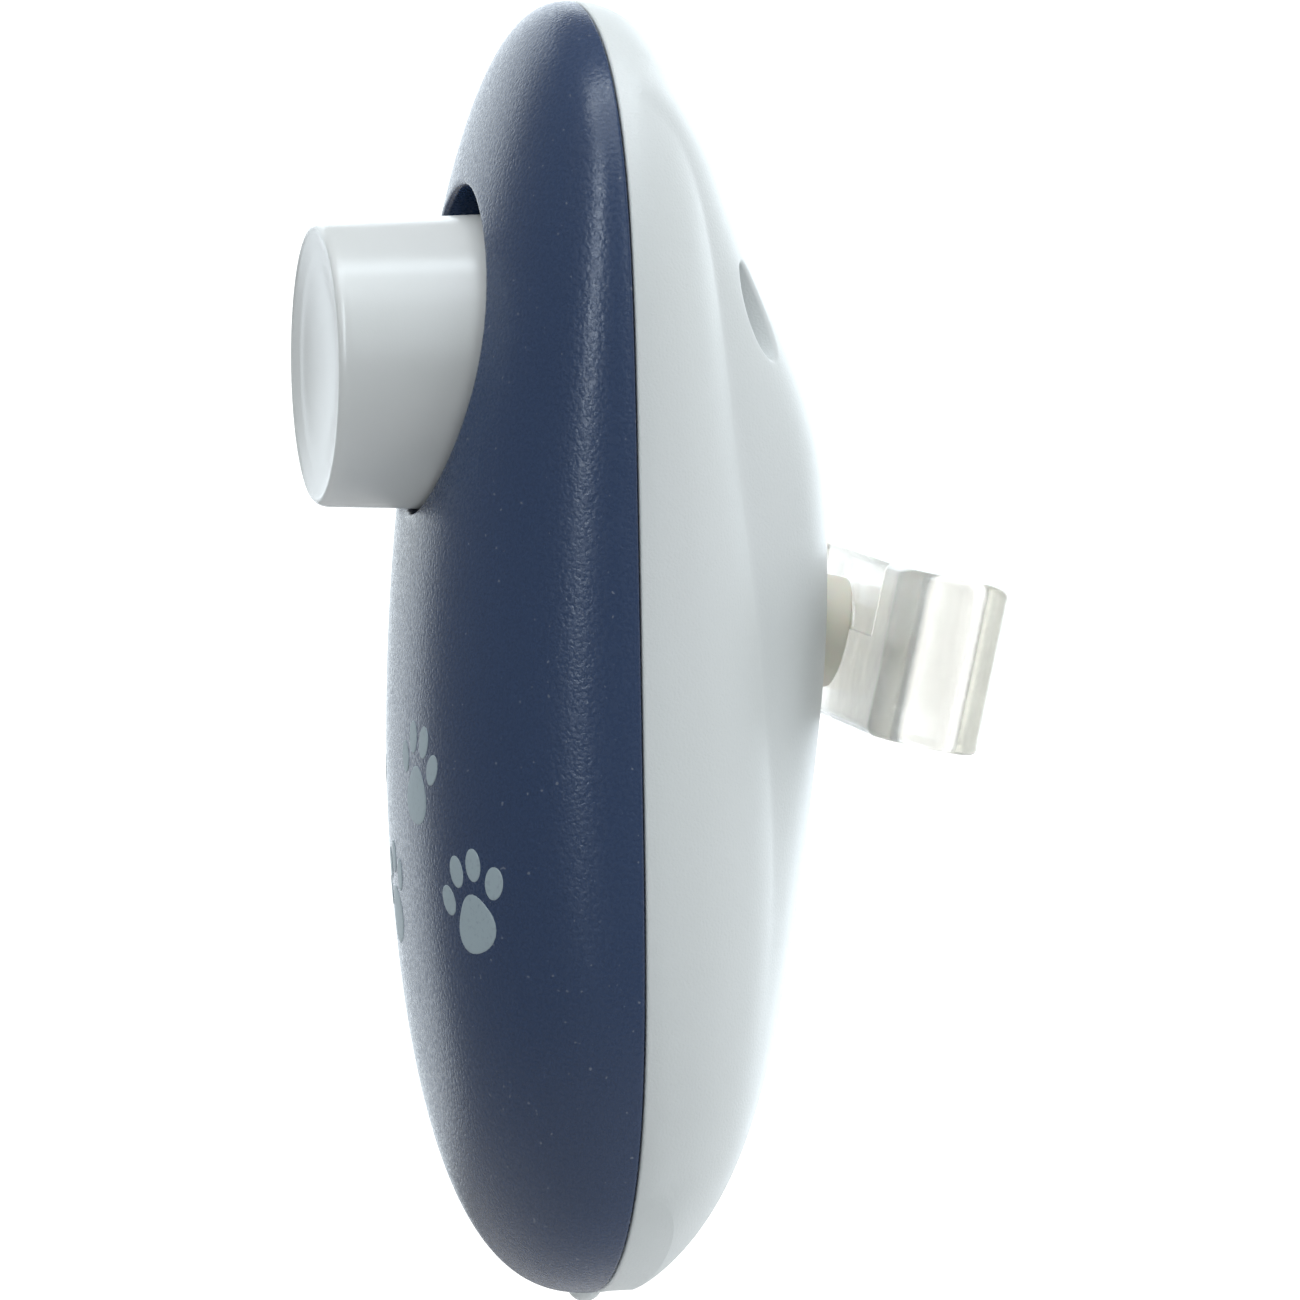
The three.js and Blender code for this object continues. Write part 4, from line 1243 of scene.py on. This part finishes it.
# softboxes: (name, azimuth, elevation, distance, width, height, brightness)
SHEEN_BOXES = (  # only their reflections are seen
    ("key", 53, 24, 0.6, 0.05, 0.45, 18.0),
    ("seam_strip", 100, 26, 0.6, 0.06, 0.4, 4.0),
    ("top_strip", 90, 80, 0.5, 0.6, 0.1, 7.0),
    ("upper_strip", 78, 60, 0.5, 0.5, 0.2, 2.5),
    ("rim_left", 290, 14, 1.2, 0.5, 1.1, 1.5),
    ("rim_behind", 265, 14, 1.2, 0.5, 1.0, 2.2),
    ("rim_back", 232, 0, 1.2, 0.7, 1.4, 3.4),
)
FULL_BOXES = (("rim_right", 172, 0, 0.8, 0.4, 0.8, 1.4),)
FILL_BOXES = (  # they light surfaces and leave no reflection
    ("overhead", 78, 75, 0.7, 0.7, 0.7, 2.9),
    ("button_side", 15, 50, 0.7, 0.5, 0.5, 2.2),
    ("back_side", 136, 8, 0.8, 0.5, 0.7, 1.85),
    ("far_back", 215, 15, 0.8, 0.6, 0.7, 2.6),
)


def add_camera():
    across = Vector((math.cos(CAMERA_AZIMUTH), math.sin(CAMERA_AZIMUTH), 0))
    back = Vector((math.sin(CAMERA_AZIMUTH), -math.cos(CAMERA_AZIMUTH), 0))
    aim = Vector((0, 0, CAMERA_Z)) + CAMERA_SIDEWAYS * across
    data = bpy.data.cameras.new("camera")
    data.sensor_width = SENSOR
    data.lens = SENSOR * CAMERA_DISTANCE / FRAME_WIDTH
    data.clip_start = 0.01
    camera = add_object("camera", data)
    turn = Matrix((across, Vector((0, 0, 1)), back)).transposed().to_4x4()
    place = CASE @ (aim + CAMERA_DISTANCE * back)
    camera.matrix_world = Matrix.Translation(place) @ turn @ Matrix.Rotation(CAMERA_ROLL, 4, "Z")
    bpy.context.scene.camera = camera


def math_node(tree, operation, first, second):
    """The clamped result of an operation on a socket and a socket or number."""
    node = tree.nodes.new("ShaderNodeMath")
    node.operation = operation
    node.use_clamp = True
    tree.links.new(first, node.inputs[0])
    if isinstance(second, float):
        node.inputs[1].default_value = second
    else:
        tree.links.new(second, node.inputs[1])
    return node.outputs["Value"]


def directly_seen(tree):
    """1 for what the camera sees directly or through something clear, else 0."""
    rays = tree.nodes.new("ShaderNodeLightPath").outputs
    clear_path = math_node(tree, "ADD", rays["Is Camera Ray"], rays["Transmission Depth"])
    undiffused = math_node(tree, "LESS_THAN", rays["Diffuse Depth"], 0.5)
    return math_node(tree, "MULTIPLY", clear_path, undiffused)


def add_floor():
    """A pale disc well below the clicker that looks white where it is seen directly."""
    place = (0, 0, FLOOR_Z)
    settings = dict(vertices=96, fill_type="NGON")
    bpy.ops.mesh.primitive_circle_add(radius=FLOOR_RADIUS, location=place, **settings)
    floor = bpy.context.object
    floor.name = "floor"
    surface = Surface("floor_paint", (0.76, 0.76, 0.76), 0.8)
    surface.mottle(400, 2, 0.4, (0.74, 0.74, 0.74))
    surface.set("Emission Color", (*WHITE, 1))
    glow = surface.ramp(directly_seen(surface.tree), 0, 1, 0, FLOOR_GLOW)
    surface.link(glow, surface.shader.inputs["Emission Strength"])
    floor.data.materials.append(surface.material)


def add_world():
    """A dim even room, which looks white when seen."""
    world = bpy.data.worlds.new("studio")
    bpy.context.scene.world = world
    world.use_nodes = True
    tree = world.node_tree
    brightness = tree.nodes.new("ShaderNodeMapRange")
    brightness.inputs["To Min"].default_value = ROOM_LIGHT
    brightness.inputs["To Max"].default_value = BACKDROP_LIGHT
    tree.links.new(directly_seen(tree), brightness.inputs["Value"])
    room = tree.nodes["Background"]
    room.inputs["Color"].default_value = (*WHITE, 1)
    tree.links.new(brightness.outputs["Result"], room.inputs["Strength"])


def add_softbox(name, azimuth, elevation, distance, width, height, brightness):
    """A rectangle of light facing the clicker; azimuth 0 is on the button's side."""
    a, e = math.radians(azimuth), math.radians(elevation)
    away = Vector((math.sin(a) * math.cos(e), -math.cos(a) * math.cos(e), math.sin(e)))
    data = bpy.data.lights.new(name, "AREA")
    data.shape = "RECTANGLE"
    data.color = WHITE
    data.size = width
    data.size_y = height
    data.energy = brightness * math.pi * width * height
    light = add_object(name, data)
    light.location = away * distance
    light.rotation_euler = away.to_track_quat("Z", "Y").to_euler()
    light.visible_camera = False
    light.visible_transmission = False
    return light


def add_lights():
    for box in SHEEN_BOXES:
        light = add_softbox(*box)
        light.visible_diffuse = False
        light.data.color = COOL
    for box in FULL_BOXES:
        add_softbox(*box)
    for box in FILL_BOXES:
        add_softbox(*box).visible_glossy = False


def let_light_through():
    """Enough bounces for light to leave the clear loop again."""
    cycles = bpy.context.scene.cycles
    cycles.max_bounces = 24
    cycles.glossy_bounces = 16
    cycles.transmission_bounces = 16


bpy.context.scene.view_settings.view_transform = "Standard"
let_light_through()
add_camera()
add_floor()
add_world()
add_lights()
materials = make_materials()
build_pieces(materials)
build_strip(materials)
build_prints()
